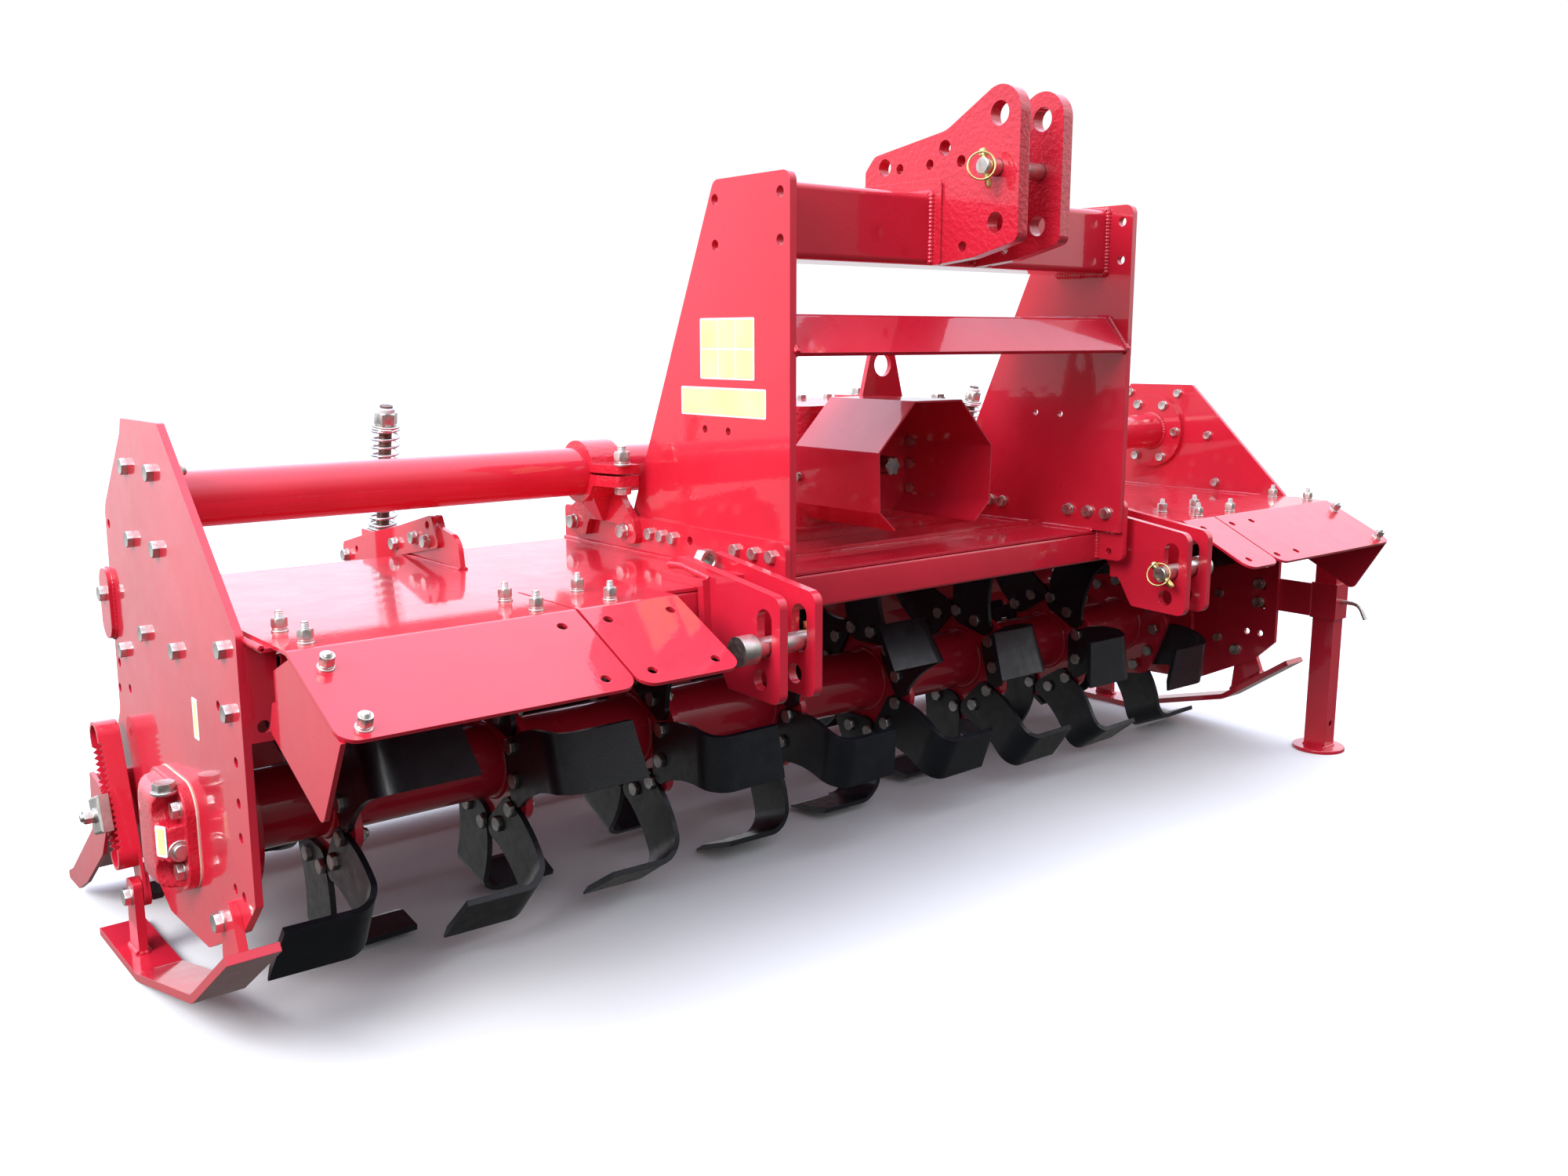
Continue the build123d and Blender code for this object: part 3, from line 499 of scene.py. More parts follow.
# ---- fasteners
SUNK, WASHER, SPRING_WASHER = -0.6, 2.4, 2.6    # how deep a seat goes in, and the washers' heights
CORNER = 0.7                                    # radius past a hexagon's corners, times its flats


def hex_head(flats, washer=True):
    """Bolt head on a flat washer or on its bare seat: a hexagon whose top corners are turned to a
    cone, with a shallow dish. Its measures are shares of the width across flats."""
    base = WASHER if washer else 0.0
    rim, half, top = 0.60 * flats, flats / 2, base + 0.40 * flats
    rows = [(CORNER * flats, SUNK, half)]
    if washer:
        rows = [(rim, SUNK), (rim, 1.7), (rim - 0.7, WASHER), (0.585 * flats, base)]
    rows += [(CORNER * flats, base, half), (CORNER * flats, top - 0.09 * flats, half),
             (0.51 * flats, top - 0.01 * flats, half), (0.46 * flats, top),
             (0.40 * flats, top - 0.02 * flats)]
    return turned(rows)


def nut_on_stud(flats, stud, show, spring_washer=True):
    """Nut on a flat and a spring washer, with a stud of the given radius that shows beyond it: its
    thread is a row of ridges."""
    base = WASHER + (SPRING_WASHER if spring_washer else 0.0)
    rim, half, top = 0.60 * flats, flats / 2, base + 0.72 * flats
    rows = [(rim, SUNK), (rim, 1.8), (rim - 0.7, WASHER)]
    if spring_washer:
        rows += [(0.52 * flats, 2.5), (0.53 * flats, 3.0), (0.53 * flats, 4.6), (0.50 * flats, 4.9)]
    rows += [(0.48 * flats, base), (0.56 * flats, base + 0.06 * flats, half),
             (CORNER * flats, base + 0.1 * flats, half), (CORNER * flats, top - 0.09 * flats, half),
             (0.50 * flats, top, half), (stud + 1.2, top), (stud - 0.6, top - 0.8)]
    pitch, depth = 1.0, 0.75
    rows += [(stud - depth * (k % 2), z)
             for k, z in enumerate(np.arange(top, top + show - 1.5, pitch))]
    rows += [(stud - 0.6, top + show - 1.0), (stud - 1.6, top + show)]
    return turned(rows)


def fitted(fastener, x, places, way, turn):
    """A fastener at each place (y, z) of a plane across X, facing a way and turned by degrees."""
    return copies(fastener, [(x, y, z) for y, z in places], way, turn)


def on_both_ends(fastener, places, turn, way=1.0):
    """A fastener at each place (x, y, z) of the right end and at its mirror place on the left one,
    facing outward, or inward for a way of -1."""
    return joined(*[copies(fastener, [(side * x, y, z) for x, y, z in places],
                           (way * side, 0, 0), turn) for side in SIDES])


def beside_rods(fastener, reach, places, turn):
    """A fastener at each place (y, z) on both faces that lie at a reach from each rod's middle."""
    return joined(*[fitted(fastener, side * ROD_X + hand * reach, places, (hand, 0, 0), turn)
                    for side in SIDES for hand in SIDES])


def ring_places(radius, degrees, y, z):
    """Places (y, z) on a circle at the given angles."""
    turn = np.radians(degrees)
    return list(zip(y + radius * np.cos(turn), z + radius * np.sin(turn)))


def zinc_piece(name, shape, body="frame"):
    """Zinc-plated fasteners as one piece."""
    piece(name, shape, ZINC, body)


HEAD_24, HEAD_22, HEAD_20, HEAD_19 = hex_head(24), hex_head(22), hex_head(20), hex_head(19)
HEAD_17, HEAD_13 = hex_head(17), hex_head(13)
BARE_22, BARE_19, BARE_17 = hex_head(22, False), hex_head(19, False), hex_head(17, False)
NUT_24, NUT_19 = nut_on_stud(24, 8.0, 8.0), nut_on_stud(19, 6.0, 6.0, False)

# places (y, z) of the bolts of each plate
LEFT_PLATE = [(91, 513), (212, 468), (-52, 513), (-246, 549), (-253, 471)]
LEFT_FLANGE = [(DRIVE_Y + a, DRIVE_Z - 6 + b) for a in (-61, 61) for b in (-51, 51)]
RIGHT_PLATE = [(-6, 791), (130, 790), (-93, 696), (-120, 588), (-149, 328), (-150, 222)]
LOW_PLATE, STAND_BOLTS = [(-200, 201)], [(-251, 365), (-251, 322)]
RIGHT_FLANGE = ring_places(71, np.arange(6) * 60, DRIVE_Y, DRIVE_Z)
UPRIGHT_ROW = [(y, 602) for y in (-380, -339, -294, -129, -97, -64)]
SADDLE_FRONT, SADDLE_REAR = [(-6, 602)], [(154, 602)]

# gear case: round the rotor, round the cross tube, and a share of the way along its two sides,
# where the plane's axes are the line between the two shafts and the way square to it
CASE_LOW, CASE_HIGH = 129, 102
CASE_BOLTS = ring_places(CASE_LOW, [195, 225, 255, 285, 315, 345], 0.0, ROTOR_Z)
CASE_BOLTS += ring_places(CASE_HIGH, [15, 55, 95, 135, 172], DRIVE_Y, DRIVE_Z)
share = np.array([0.18, 0.4, 0.62, 0.84])
for hand in SIDES:
    out = hand * (CASE_LOW - (CASE_LOW - CASE_HIGH) * share)
    CASE_BOLTS += list(zip(DRIVE_Y * share + 0.991 * out,
                           ROTOR_Z + (DRIVE_Z - ROTOR_Z) * share - 0.134 * out))

PLATE_BOLTS = [
    (BARE_22, -END_OUT, LEFT_PLATE + LEFT_FLANGE, LEFT, 12),
    (BARE_22, -END_OUT - 8, [(271, 545)], LEFT, 5),
    (HEAD_17, END_IN, RIGHT_PLATE, LEFT, 8),
    (HEAD_22, END_IN, LOW_PLATE + STAND_BOLTS, LEFT, 8),
    (HEAD_19, TUBE_FLANGE, RIGHT_FLANGE, LEFT, 17),
    (BARE_17, RIM_OUT, CASE_BOLTS, RIGHT, 9),
    (BARE_19, -UPRIGHT_OUT, UPRIGHT_ROW, LEFT, 14),
    (HEAD_19, MAST_IN, UPRIGHT_ROW + SADDLE_FRONT, LEFT, 14),
    (HEAD_22, -SADDLE_OUT, SADDLE_FRONT + SADDLE_REAR, LEFT, 4),
    (HEAD_22, SADDLE_OUT, SADDLE_FRONT + SADDLE_REAR, RIGHT, 4),
]
zinc_piece("plate_bolts", joined(*[fitted(*row) for row in PLATE_BOLTS]))

PLATE_NUTS = [
    (NUT_19, -END_IN, LEFT_PLATE, RIGHT, 15),
    (NUT_19, -TUBE_FLANGE, LEFT_FLANGE, RIGHT, 15),
    (NUT_24, END_OUT + 5, STAND_BOLTS, RIGHT, 3),
    (NUT_19, -MAST_IN, UPRIGHT_ROW + SADDLE_FRONT, RIGHT, 6),
    (NUT_19, UPRIGHT_OUT, UPRIGHT_ROW, RIGHT, 6),
    (NUT_24, -MAST_OUT, SADDLE_REAR, RIGHT, 6),
    (NUT_24, MAST_OUT, SADDLE_REAR, LEFT, 6),
]
# the side flaps slope down to the front: along the slope, and square out of it
FLAP_BEND, FLAP_WAY, FLAP_OUT = np.array([-404.0, FLAP_TOP]), (-0.8991, -0.4376), (-0.4376, 0.8991)
deck_studs = [(side * x, y, FLAP_TOP)
              for side in SIDES for x in (1104.5, 802, 689) for y in (-293, -377)]
flap_studs = [(side * 1106, *(FLAP_BEND + along * np.array(FLAP_WAY)))
              for side in SIDES for along in (38, 148)]
EAR_TOP, EAR_UNDER = 716, 680
clamp_ears = [(side * 447, y) for side in SIDES for y in (-41, 161)]
frame_nuts = joined(
    copies(nut_on_stud(17, 5.0, 9.5), deck_studs, UP, 21),
    copies(nut_on_stud(17, 5.0, 4.0), flap_studs, (0, *FLAP_OUT), 8),
    copies(nut_on_stud(24, 8.0, 10.0), [(x, y, EAR_TOP) for x, y in clamp_ears[::2]], UP, 10),
    copies(HEAD_22, [(x, y, EAR_TOP) for x, y in clamp_ears[1::2]], UP, 10),
    *[fitted(*row) for row in PLATE_NUTS],
)
zinc_piece("deck_and_clamp_nuts", frame_nuts)
zinc_piece("clamp_bolt_heads",
           copies(HEAD_24, [(x, y, EAR_UNDER) for x, y in clamp_ears], DOWN, 10))

# depth struts: bolt of the front lug, foot bolt with a black nut inside, screw of the clamp, which
# sits up the strut from its foot
STRUT_LEAN = math.radians(20)
STRUT_FOOT = np.array([183.0, 100.0])
CLAMP_AT = STRUT_FOOT + 128.0 * np.array([math.sin(STRUT_LEAN), math.cos(STRUT_LEAN)])
skid_fasteners = joined(
    on_both_ends(HEAD_24, [(RIM_OUT, -200, 187), (RIM_OUT + 17, *STRUT_FOOT)], 11),
    on_both_ends(nut_on_stud(19, 6.5, 4.0, False), [(1217, *CLAMP_AT)], 4),
)
zinc_piece("skid_bolts", skid_fasteners)
black_nuts = on_both_ends(nut_on_stud(24, 8.0, 5.0, False), [(END_OUT + 5, *STRUT_FOOT)], 2, -1.0)
piece("skid_black_nuts", black_nuts, BLACK_STEEL)

# gearbox: cover screws, bearing cap screws, breather, filler plug, screws of the output flanges
COVER_TOP, CAP_FRONT, CAP_CIRCLE = 802, -115.5, 73
cover_low, cover_high = (np.array(corner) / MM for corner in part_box("gearbox_cover"))
cover_seats = [(x, y, COVER_TOP) for y in (cover_low[1] + 13, cover_high[1] - 13)
               for x in np.linspace(cover_low[0] + 16, cover_high[0] - 16, 6)
               if not (x < -70 and y < 0)]
cap_seats = [(a * CAP_CIRCLE, CAP_FRONT, DRIVE_Z + b * CAP_CIRCLE)
             for a, b in ((0, 1), (0, -1), (-1, 0), (1, 0))]
gearbox_screws = joined(
    copies(BARE_17, cover_seats, UP, 7), copies(hex_head(13, False), cap_seats, FRONT, 7),
    copies(hex_head(25), [(256, -72, COVER_TOP)], UP, 14),
    copies(hex_head(27), [(200, 90, COVER_TOP + 8)], UP, 10),
    *[copies(BARE_17, circle(62, x, DRIVE_Y, DRIVE_Z, 8), way, 9)
      for x, way in ((-126, LEFT), (296, RIGHT))],
)
zinc_piece("gearbox_screws", gearbox_screws)
guard_screws = joined(fitted(HEAD_13, -135.4, [(-121, 683)], LEFT, 0),
                      fitted(HEAD_13, 135.4, [(-121, 683)], RIGHT, 0),
                      fitted(BARE_17, 133.2, [(-126, z) for z in (732, 691, 646)], LEFT, 8))
zinc_piece("guard_screws", guard_screws)

# rod brackets: three bolts through each strap, and one with a spacer through both
GUIDE_BOLT = (384, 547)
spacer_seats = [(side * ROD_X, *GUIDE_BOLT) for side in SIDES]
spacers = copies(turned([(7, -22), (7, 22)]), spacer_seats, RIGHT)
bracket_bolts = joined(beside_rods(HEAD_19, 10, [(220, 584), (144, 602), (101, 601)], 9),
                       beside_rods(HEAD_19, 28, [GUIDE_BOLT], 9), spacers)
zinc_piece("rod_bracket_bolts", bracket_bolts)

# hinge pins of the levelling board, and the pins at the rods' feet
hinge_ends = [fitted(HEAD_20, x + hand * 92, [(286, 440)], (hand, 0, 0), 5)
              for hand in SIDES for x in (-1000, -500, 0, 500, 1000)]
zinc_piece("hinge_pin_heads", joined(*hinge_ends))
zinc_piece("rod_foot_pins", beside_rods(HEAD_20, 21, [ROD_FOOT], 5), "board")

# ---- gear case on the right end plate


def case_ring(x, low, high, count=60):
    """Ring round the two shafts: an arc of the low radius about the rotor's axis, one of the high
    radius about the cross tube's axis, and the two straight runs that touch both."""
    rise = DRIVE_Z - ROTOR_Z
    span, along = math.hypot(DRIVE_Y, rise), math.atan2(rise, DRIVE_Y)
    lean = math.acos((low - high) / span)
    under = along + np.linspace(lean, 2 * np.pi - lean, count)
    over = along + np.linspace(-lean, lean, count)
    y = np.concatenate([low * np.cos(under), DRIVE_Y + high * np.cos(over)])
    z = np.concatenate([ROTOR_Z + low * np.sin(under), DRIVE_Z + high * np.sin(over)])
    return triples(x, y, z)


#             x, low radius, high radius
CASE_RINGS = [(END_OUT, 138, 110), (1168.6, 138, 110), (RIM_OUT, 136.6, 108.6), (1170.2, 120, 93),
              (1216, 118, 91), (1226, 115, 88), (1233, 108, 81), (1236, 99, 72), (1236.1, 50, 30)]
case_shape = closed_ends(np.stack([case_ring(*row) for row in CASE_RINGS]) * MM)
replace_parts(piece("cast_gear_case", case_shape, CAST_RED), "gear_case")

# ---- bearing housing and its fittings
HOUSING_BOLTS = [(y, z) for y in (-60, 60) for z in (299, 213)]
#                out, rear and front edge, half height, corner, pocket round each bolt
HOUSING_RINGS = [(END_OUT, 85, -85, 76, 42, 0), (1172.4, 85, -85, 76, 42, 0),
                 (1174.0, 83.5, -83.5, 74.5, 41, 0), (1174.2, 75, -76, 70, 26, 19),
                 (1178.0, 73, -75, 69, 25, 19.5), (1186.0, 68, -74, 68, 24, 19.5),
                 (1193.0, 58, -71, 67, 23, 19), (1199.0, 42, -61, 65, 22, 18.5),
                 (1203.0, 28, -49, 62, 21, 17.5), (1204.5, 20, -43, 58, 20, 16),
                 (1204.6, 8, -30, 40, 16, 0)]


def housing_ring(angle, out, rear, front, half, corner, pocket):
    """Ring of the housing: at an angle the radius is that of a rectangle with round corners, cut
    back to the near side of a round pocket where the ray meets one, and then eased."""
    middle, reach = (rear + front) / 2, (rear - front) / 2
    u, v = -np.cos(angle), np.sin(angle)
    wide, tall = np.abs(u), np.abs(v)
    radius = np.minimum(reach / np.maximum(wide, 1e-6), half / np.maximum(tall, 1e-6))
    a, b = reach - corner, half - corner
    in_corner = (radius * wide > a) & (radius * tall > b)
    aside = a * tall - b * wide
    bend = a * wide + b * tall + np.sqrt(np.maximum(corner ** 2 - aside ** 2, 0))
    radius = np.where(in_corner, bend, radius)
    for y, z in HOUSING_BOLTS if pocket else ():
        along = (y - middle) * u + (z - ROTOR_Z) * v
        aside = (y - middle) * v - (z - ROTOR_Z) * u
        near = along - np.sqrt(np.maximum(pocket ** 2 - aside ** 2, 0))
        meets = (np.abs(aside) < pocket) & (along > 0)
        radius = np.where(meets, np.minimum(radius, near), radius)
    radius = (np.roll(radius, 1) + 2 * radius + np.roll(radius, -1)) / 4
    return triples(-out, middle + radius * u, ROTOR_Z + radius * v)


housing_rings = [housing_ring(full_turn(180), *row) for row in HOUSING_RINGS]
housing_shape = closed_ends(np.stack(housing_rings) * MM)
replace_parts(piece("cast_housing", housing_shape, CAST_RED, smooth=40),
            "bearing_housing")
TOP_PLUG = turned([(18, SUNK), (18, 2.2), (17, 3.0), (17.4, 3.2, 13.5), (17.4, 12.0, 13.5),
                   (14.2, 14.0, 13.5), (12.6, 14.0), (10.5, 13.2)])
SIDE_PLUG = turned([(15, -0.8), (15, 1.6), (14.2, 2.4), (10.6, 2.6), (10.2, 7.4), (9.2, 8.4),
                    (7, 8.8)])
housing_fittings = joined(fitted(HEAD_22, -1174, HOUSING_BOLTS, LEFT, 13),
                          copies(TOP_PLUG, [(-1187, -48, 323)], UP, 14),
                          copies(SIDE_PLUG, [(-1181, -75, 247)], FRONT))
zinc_piece("bearing_housing_bolts", housing_fittings)
# the two directions of a plate that faces left: to the front and up
FACING_LEFT = (0, -1, 0), (0, 0, 1)
gasket_shape = slab(rounded(171.6, 153.6, 42.6, 10), *FACING_LEFT, END_OUT - 0.2, END_OUT + 1.9,
                    (0, 0, ROTOR_Z))
piece("bearing_gasket", gasket_shape, GASKET)

# ---- blank signs


def sign(middle, u, v, width, height, columns=1, rows=1, border=3.0):
    """Blank sign: a thin white plate with round corners under blank yellow panels in columns and
    rows."""
    u, v = np.asarray(u, float), np.asarray(v, float)
    plate = slab(rounded(width, height, 3.0), u, v, -0.2, 0.5, middle)
    step = np.array([(width - border) / columns, (height - border) / rows])
    outline = rounded(step[0] - border, step[1] - border, 1.5)
    panels = []
    for i in range(columns):
        for j in range(rows):
            at = (np.array([i, j]) - (np.array([columns, rows]) - 1) / 2) * step
            origin = np.asarray(middle, float) + at[0] * u + at[1] * v
            panels.append(slab(outline, u, v, 0.3, 0.75, origin))
    return plate, joined(*panels)


signs = [sign((-MAST_OUT, -262, 904), *FACING_LEFT, 134, 92, 3, 2),
         sign((-MAST_OUT, -250, 824), *FACING_LEFT, 212, 44),
         sign((-END_OUT, -112, 433), *FACING_LEFT, 22, 56, border=5.0),
         sign((-1199.6, -60.6, 260), (0.484, -0.875, 0), UP, 19, 44, border=4.0)]
piece("sign_plates", joined(*[plate for plate, panels in signs]), SIGN_WHITE)
piece("sign_panels", joined(*[panels for plate, panels in signs]), SIGN_YELLOW)

# ---- weld beads
BESIDE = 0.5                            # how far a bead's middle lies from the faces that it joins
DECK_WELD = DECK_TOP + BESIDE
MAST_WELD = MAST_IN - BESIDE
TUBE_BEAD = 40.5                        # radius of the beads round the cross tubes


def bead(corners, size, closed=False, step=1.5):
    """Weld bead: a tube along the corners whose radius swells every 6 mm and wanders a little."""
    path, along = spaced(corners, step, closed)
    s = along / MM
    swell = 0.80 + 0.20 * np.abs(np.sin(np.pi * s / 6.0))
    radius = size * (swell + 0.06 * np.sin(s / 11.3) + 0.04 * np.sin(s / 5.1 + 2.0))
    return tube(path, radius * MM, 7, closed)


def ring_bead(radius, x, y, z, size, step=1.5):
    """Weld bead in a circle about an axis along X."""
    return bead(circle(radius, x, y, z, 72), size, True, step)


def line(x, places):
    """Corners (x, y, z) for places (y, z): in one plane across X, or each at its own x."""
    return [(at, y, z) for at, (y, z) in zip(np.broadcast_to(x, len(places)), places)]


def beads(rows):
    """Weld beads for rows of a size, the corners (y, z), and each x that has such a bead, or the
    two x between which it runs."""
    return [bead(line(x, places), size) for size, places, *row_x in rows for x in row_x]


LOW_WELDS = [
    # feet of the upright flange and the mast plate, and the front ends of both
    (5.0, [(-352, DECK_WELD), (207, DECK_WELD)], UPRIGHT_OUT + BESIDE),
    (5.0, [(-352, DECK_WELD), (8, DECK_WELD)], MAST_WELD),
    (5.0, [(-353, 514), (-353, 566)], UPRIGHT_OUT + BESIDE, MAST_OUT - BESIDE),
    # outer and inner faces of the two clevis plates
    (4.5, [(-353, 505), (-353, 566)], 436.5, 514.5),
    (4.0, [(-353, 505), (-353, 562)], 451.5, 499.5),
    # front and rear lugs of the skid
    (5.0, [(-262, 154), (-188, 103)], END_OUT - BESIDE, RIM_OUT + BESIDE),
    (5.0, [(168, 12.5), (213, 12.5)], 1173.5, 1187.5),
    (5.0, [(165, 12.5)] * 2, (1174, 1187)), (5.0, [(-186, 100)] * 2, (END_OUT, RIM_OUT)),
    # top of the clevis, and both faces of a rod bracket
    (5.0, [(-366, 579), (-296, 590), (-264, 588)], 513.5),
    (4.0, [(-2, DECK_WELD), (205, DECK_WELD)], 712.5, 721.5),
]
TOP_BEAM_END = [(-357, 1034), (-357, 1144), (-247, 1144), (-247, 1034)]
CHEEK_BEAD = [(-357.5, 1036), (-357.5, 1144.5), (-202, 1144.5)]
HIGH_WELDS = [
    # both faces of the middle bar's end
    (6.0, [(-412, 899), (-368, 955.5), (-158, 955.5)], MAST_WELD),
    (6.0, [(-158, 946.5), (-366, 946.5), (-407, 894)], MAST_WELD),
    # inside the end plate, along the deck and down the end angle
    (4.5, [(-352, DECK_WELD), (190, DECK_WELD)], END_IN - BESIDE),
    (3.5, [(-290.5, 442), (-290.5, 500)], END_IN - BESIDE),
    # both faces of a top-link cheek, and of a rod's foot
    (6.5, CHEEK_BEAD, 64.5), (6.0, CHEEK_BEAD, 37.5),
    (3.0, [(327, 330), (337, 278)], ROD_X - 21.5, ROD_X + 21.5),
]
# stadium round the lug on the end plate
oval = np.concatenate([circle(26, END_OUT + 0.3, 271, 502, 24)[12:],
                       circle(26, END_OUT + 0.3, 271, 557, 24)[:13]])
top_beam_bead = bead(line(MAST_WELD, TOP_BEAM_END), 7.0, True)
half_beads = [*beads(LOW_WELDS), top_beam_bead, *beads(HIGH_WELDS), bead(oval, 3.0, True)]
middle_beads = [
    *[bead(line((-MAST_IN, MAST_IN), [(y, DECK_WELD)] * 2), 4.0, step=2.0)
      for y in (-232.5, -221.5)],
    *[ring_bead(TUBE_BEAD, x, DRIVE_Y, DRIVE_Z, size)
      for x, size in ((-TUBE_FLANGE, 6.0), (TUBE_FLANGE, 6.0), (-126, 5.0), (296, 5.0))],
    bead(line(1163.3, [(-370, 309), (-370, 379)]), 4.0),
]
frame_welds = joined(both_sides(joined(*half_beads)), *middle_beads)
piece("frame_welds", frame_welds, WELD_RED, smooth=60)
stand_corners = [(x, y, 8.3) for x, y in ((1166, -425), (1206, -425), (1206, -375), (1166, -375))]
piece("stand_foot_weld", bead(stand_corners, 4.0, True), WELD_RED, body="stand",
      smooth=60)
flange_x = (np.arange(8) - 3.5) * FLANGE_PITCH
rotor_beads = [ring_bead(59.5, x, 0, ROTOR_Z, 6.5, 2.5)
               for x in np.concatenate([flange_x, flange_x + FLANGE_WIDE])]
piece("rotor_welds", joined(*rotor_beads), WELD_RED, body="rotor", smooth=60)

# ---- tine bolts, two to a tine
# One row of angles for each flange. Six tines lie 60 degrees apart on either face.
turns = FIRST_TINE + TINE_STEP * np.arange(8)[:, None] + 30.0 * np.arange(12)[None, :] + 6.5
turns = np.radians(turns)
bolt_y, bolt_z = BOLT_CIRCLE * np.cos(turns), ROTOR_Z + BOLT_CIRCLE * np.sin(turns)


def around_flanges(fastener, offset, way):
    """A fastener at every tine bolt, at an offset from each flange's left face."""
    seats = triples(flange_x[:, None] + offset, bolt_y, bolt_z)
    return copies(fastener, seats, way, np.degrees(turns).ravel())


TINE_HEX = 11.5                         # half the width across flats
small_head = turned([(13.5, -0.5, TINE_HEX), (13.5, 5.5, TINE_HEX), (11.2, 7.2, TINE_HEX),
                     (9.0, 7.2)], 12)
small_nut = turned([(13.5, -0.5, TINE_HEX), (13.5, 10.0, TINE_HEX), (11.0, 12.0, TINE_HEX),
                    (7.5, 12.0), (7.2, 17.0), (6.0, 18.0)], 12)
tine_bolts = joined(around_flanges(small_head, -TINE_T, LEFT),
                    around_flanges(small_nut, FLANGE_WIDE, RIGHT))
piece("tine_bolts", tine_bolts, DULL_ZINC, body="rotor")

# ---- spring rods


def thread(radius, depth, pitch, length, segments=18):
    """Screw thread about Z: radius + depth * triangle wave of (height / pitch - angle / full
    turn)."""
    height = np.arange(0.0, length, pitch / 4)[:, None]
    angle = full_turn(segments)
    wave = np.abs(np.mod(height / pitch - angle / (2 * np.pi), 1.0) * 2 - 1)
    return closed_ends(polar(radius + depth * wave, angle, height) * MM)


def coil(radius, wire, low, high, count, sides=9):
    """Spring about Z: a helix of count turns whose pitch closes up over the last turn at each end,
    with rings of the wire square to its way."""
    close, close_rise = 0.9, 2.0
    t = np.linspace(0.0, 1.0, count * 28)
    turn = t * count
    rise = np.clip((turn - close) / (count - 2 * close), 0.0, 1.0)
    height = low + wire + (high - low - 2 * wire) * rise + np.minimum(turn, close) * close_rise
    angle = turn * 2 * np.pi
    path = polar(radius, angle, height) * MM
    ahead = np.gradient(path, axis=0)
    ahead /= np.linalg.norm(ahead, axis=1, keepdims=True)
    return closed_ends(hoops(path, ahead, polar(1.0, angle, 0.0), wire * MM, sides))


# heights along a rod from its foot: where its thread starts and ends, and its spring's two ends
THREAD_LOW, THREAD_HIGH, SPRING_LOW, SPRING_HIGH = 70, 512, 303.0, 474.0
ROD_LEAN = np.array([0.0, ROD_HEAD[0] - ROD_FOOT[0], ROD_HEAD[1] - ROD_FOOT[1]])
ROD_WAY = ROD_LEAN / float(np.linalg.norm(ROD_LEAN))
spring = coil(22.0, 2.3, SPRING_LOW, SPRING_HIGH, 14)
lower_washer = turned([(25, 299), (25, 301.5), (24, 302.5), (12, 302.5)])
upper_washer = turned([(22.5, 475), (22.5, 478), (21.5, 479), (12, 479)], 32)
lock_nut = turned([(16, 479.2, 16.5), (19.1, 481, 16.5), (19.1, 499, 16.5), (16, 501.2, 16.5),
                   (14.8, 501.6)], 36)
collar = turned([(13.6, 501.2), (14.2, 502.2), (14.2, 506.5), (13, 508.2), (11.2, 508.4)], 36)
rod_thread = thread(10.1, 0.9, 3.0, THREAD_HIGH - THREAD_LOW)
for name, side in (("left", -1.0), ("right", 1.0)):
    foot = [(side * ROD_X, *ROD_FOOT)]
    body = "rod_" + name
    thread_start = np.asarray(foot) + THREAD_LOW * ROD_WAY
    nut = copies(joined(lock_nut, upper_washer, lower_washer), foot, ROD_WAY, 20)
    piece(f"rod_thread_{name}", copies(rod_thread, thread_start, ROD_WAY), OILED_THREAD, body=body,
          smooth=20)
    piece(f"rod_spring_{name}", copies(spring, foot, ROD_WAY), SPRING_STEEL, body=body, smooth=60)
    zinc_piece(f"rod_nut_{name}", nut, body)
    piece(f"rod_collar_{name}", copies(collar, foot, ROD_WAY), NYLON, body=body)

# ---- hitch pins, stand pin, eye nuts


def linch_pin(x, y, z, hand, tail):
    """Linch pin through a hitch pin's end, with its sprung hoop round that end. hand: which way the
    end looks. tail: which way (y, z) the linch pin points."""
    stand_off, hoop, wire = 9, 20.5, 1.6
    tail = np.array([0.0, *tail]) / np.hypot(*tail)
    stem = turned([(3.0, -33), (5.0, -29), (5.0, 15), (7.0, 16), (7.0, 24), (5.5, 26)])
    angle = full_turn(64)[:, None]
    sideways = np.cross(tail, (-0.75 * hand, 0.65, 0.0))
    sideways /= np.linalg.norm(sideways)
    middle = np.array([x + stand_off * hand, y, z])
    path = middle + hoop * (-np.cos(angle) * tail + np.sin(angle) * sideways)
    return joined(copies(stem, [(x, y, z)], -tail), tube(path * MM, wire * MM, 8, True))


# ends of the top-link pin and of the two lower pins: x, y, z and which way each looks
TOP_PIN, LEFT_PIN, RIGHT_PIN = (-92, -488, 1172), (-424, -491, 501), (404, -491, 501)
linch_pins = joined(linch_pin(-85, *TOP_PIN[1:], -1, (-0.25, -1.0)),
                    linch_pin(-429, *LEFT_PIN[1:], 1, (-0.3, -1.0)),
                    linch_pin(409, *RIGHT_PIN[1:], -1, (-0.75, -0.62)))
piece("linch_pins", linch_pins, YELLOW_ZINC)
pin_end = turned([(12.2, -0.4), (12.2, 0.6), (11.0, 1.6), (4.0, 1.9)])
pin_ends = [copies(pin_end, [place], way)
            for place, way in ((TOP_PIN, LEFT), (LEFT_PIN, RIGHT), (RIGHT_PIN, LEFT))]
piece("hitch_pin_ends", joined(*pin_ends), ZINC)

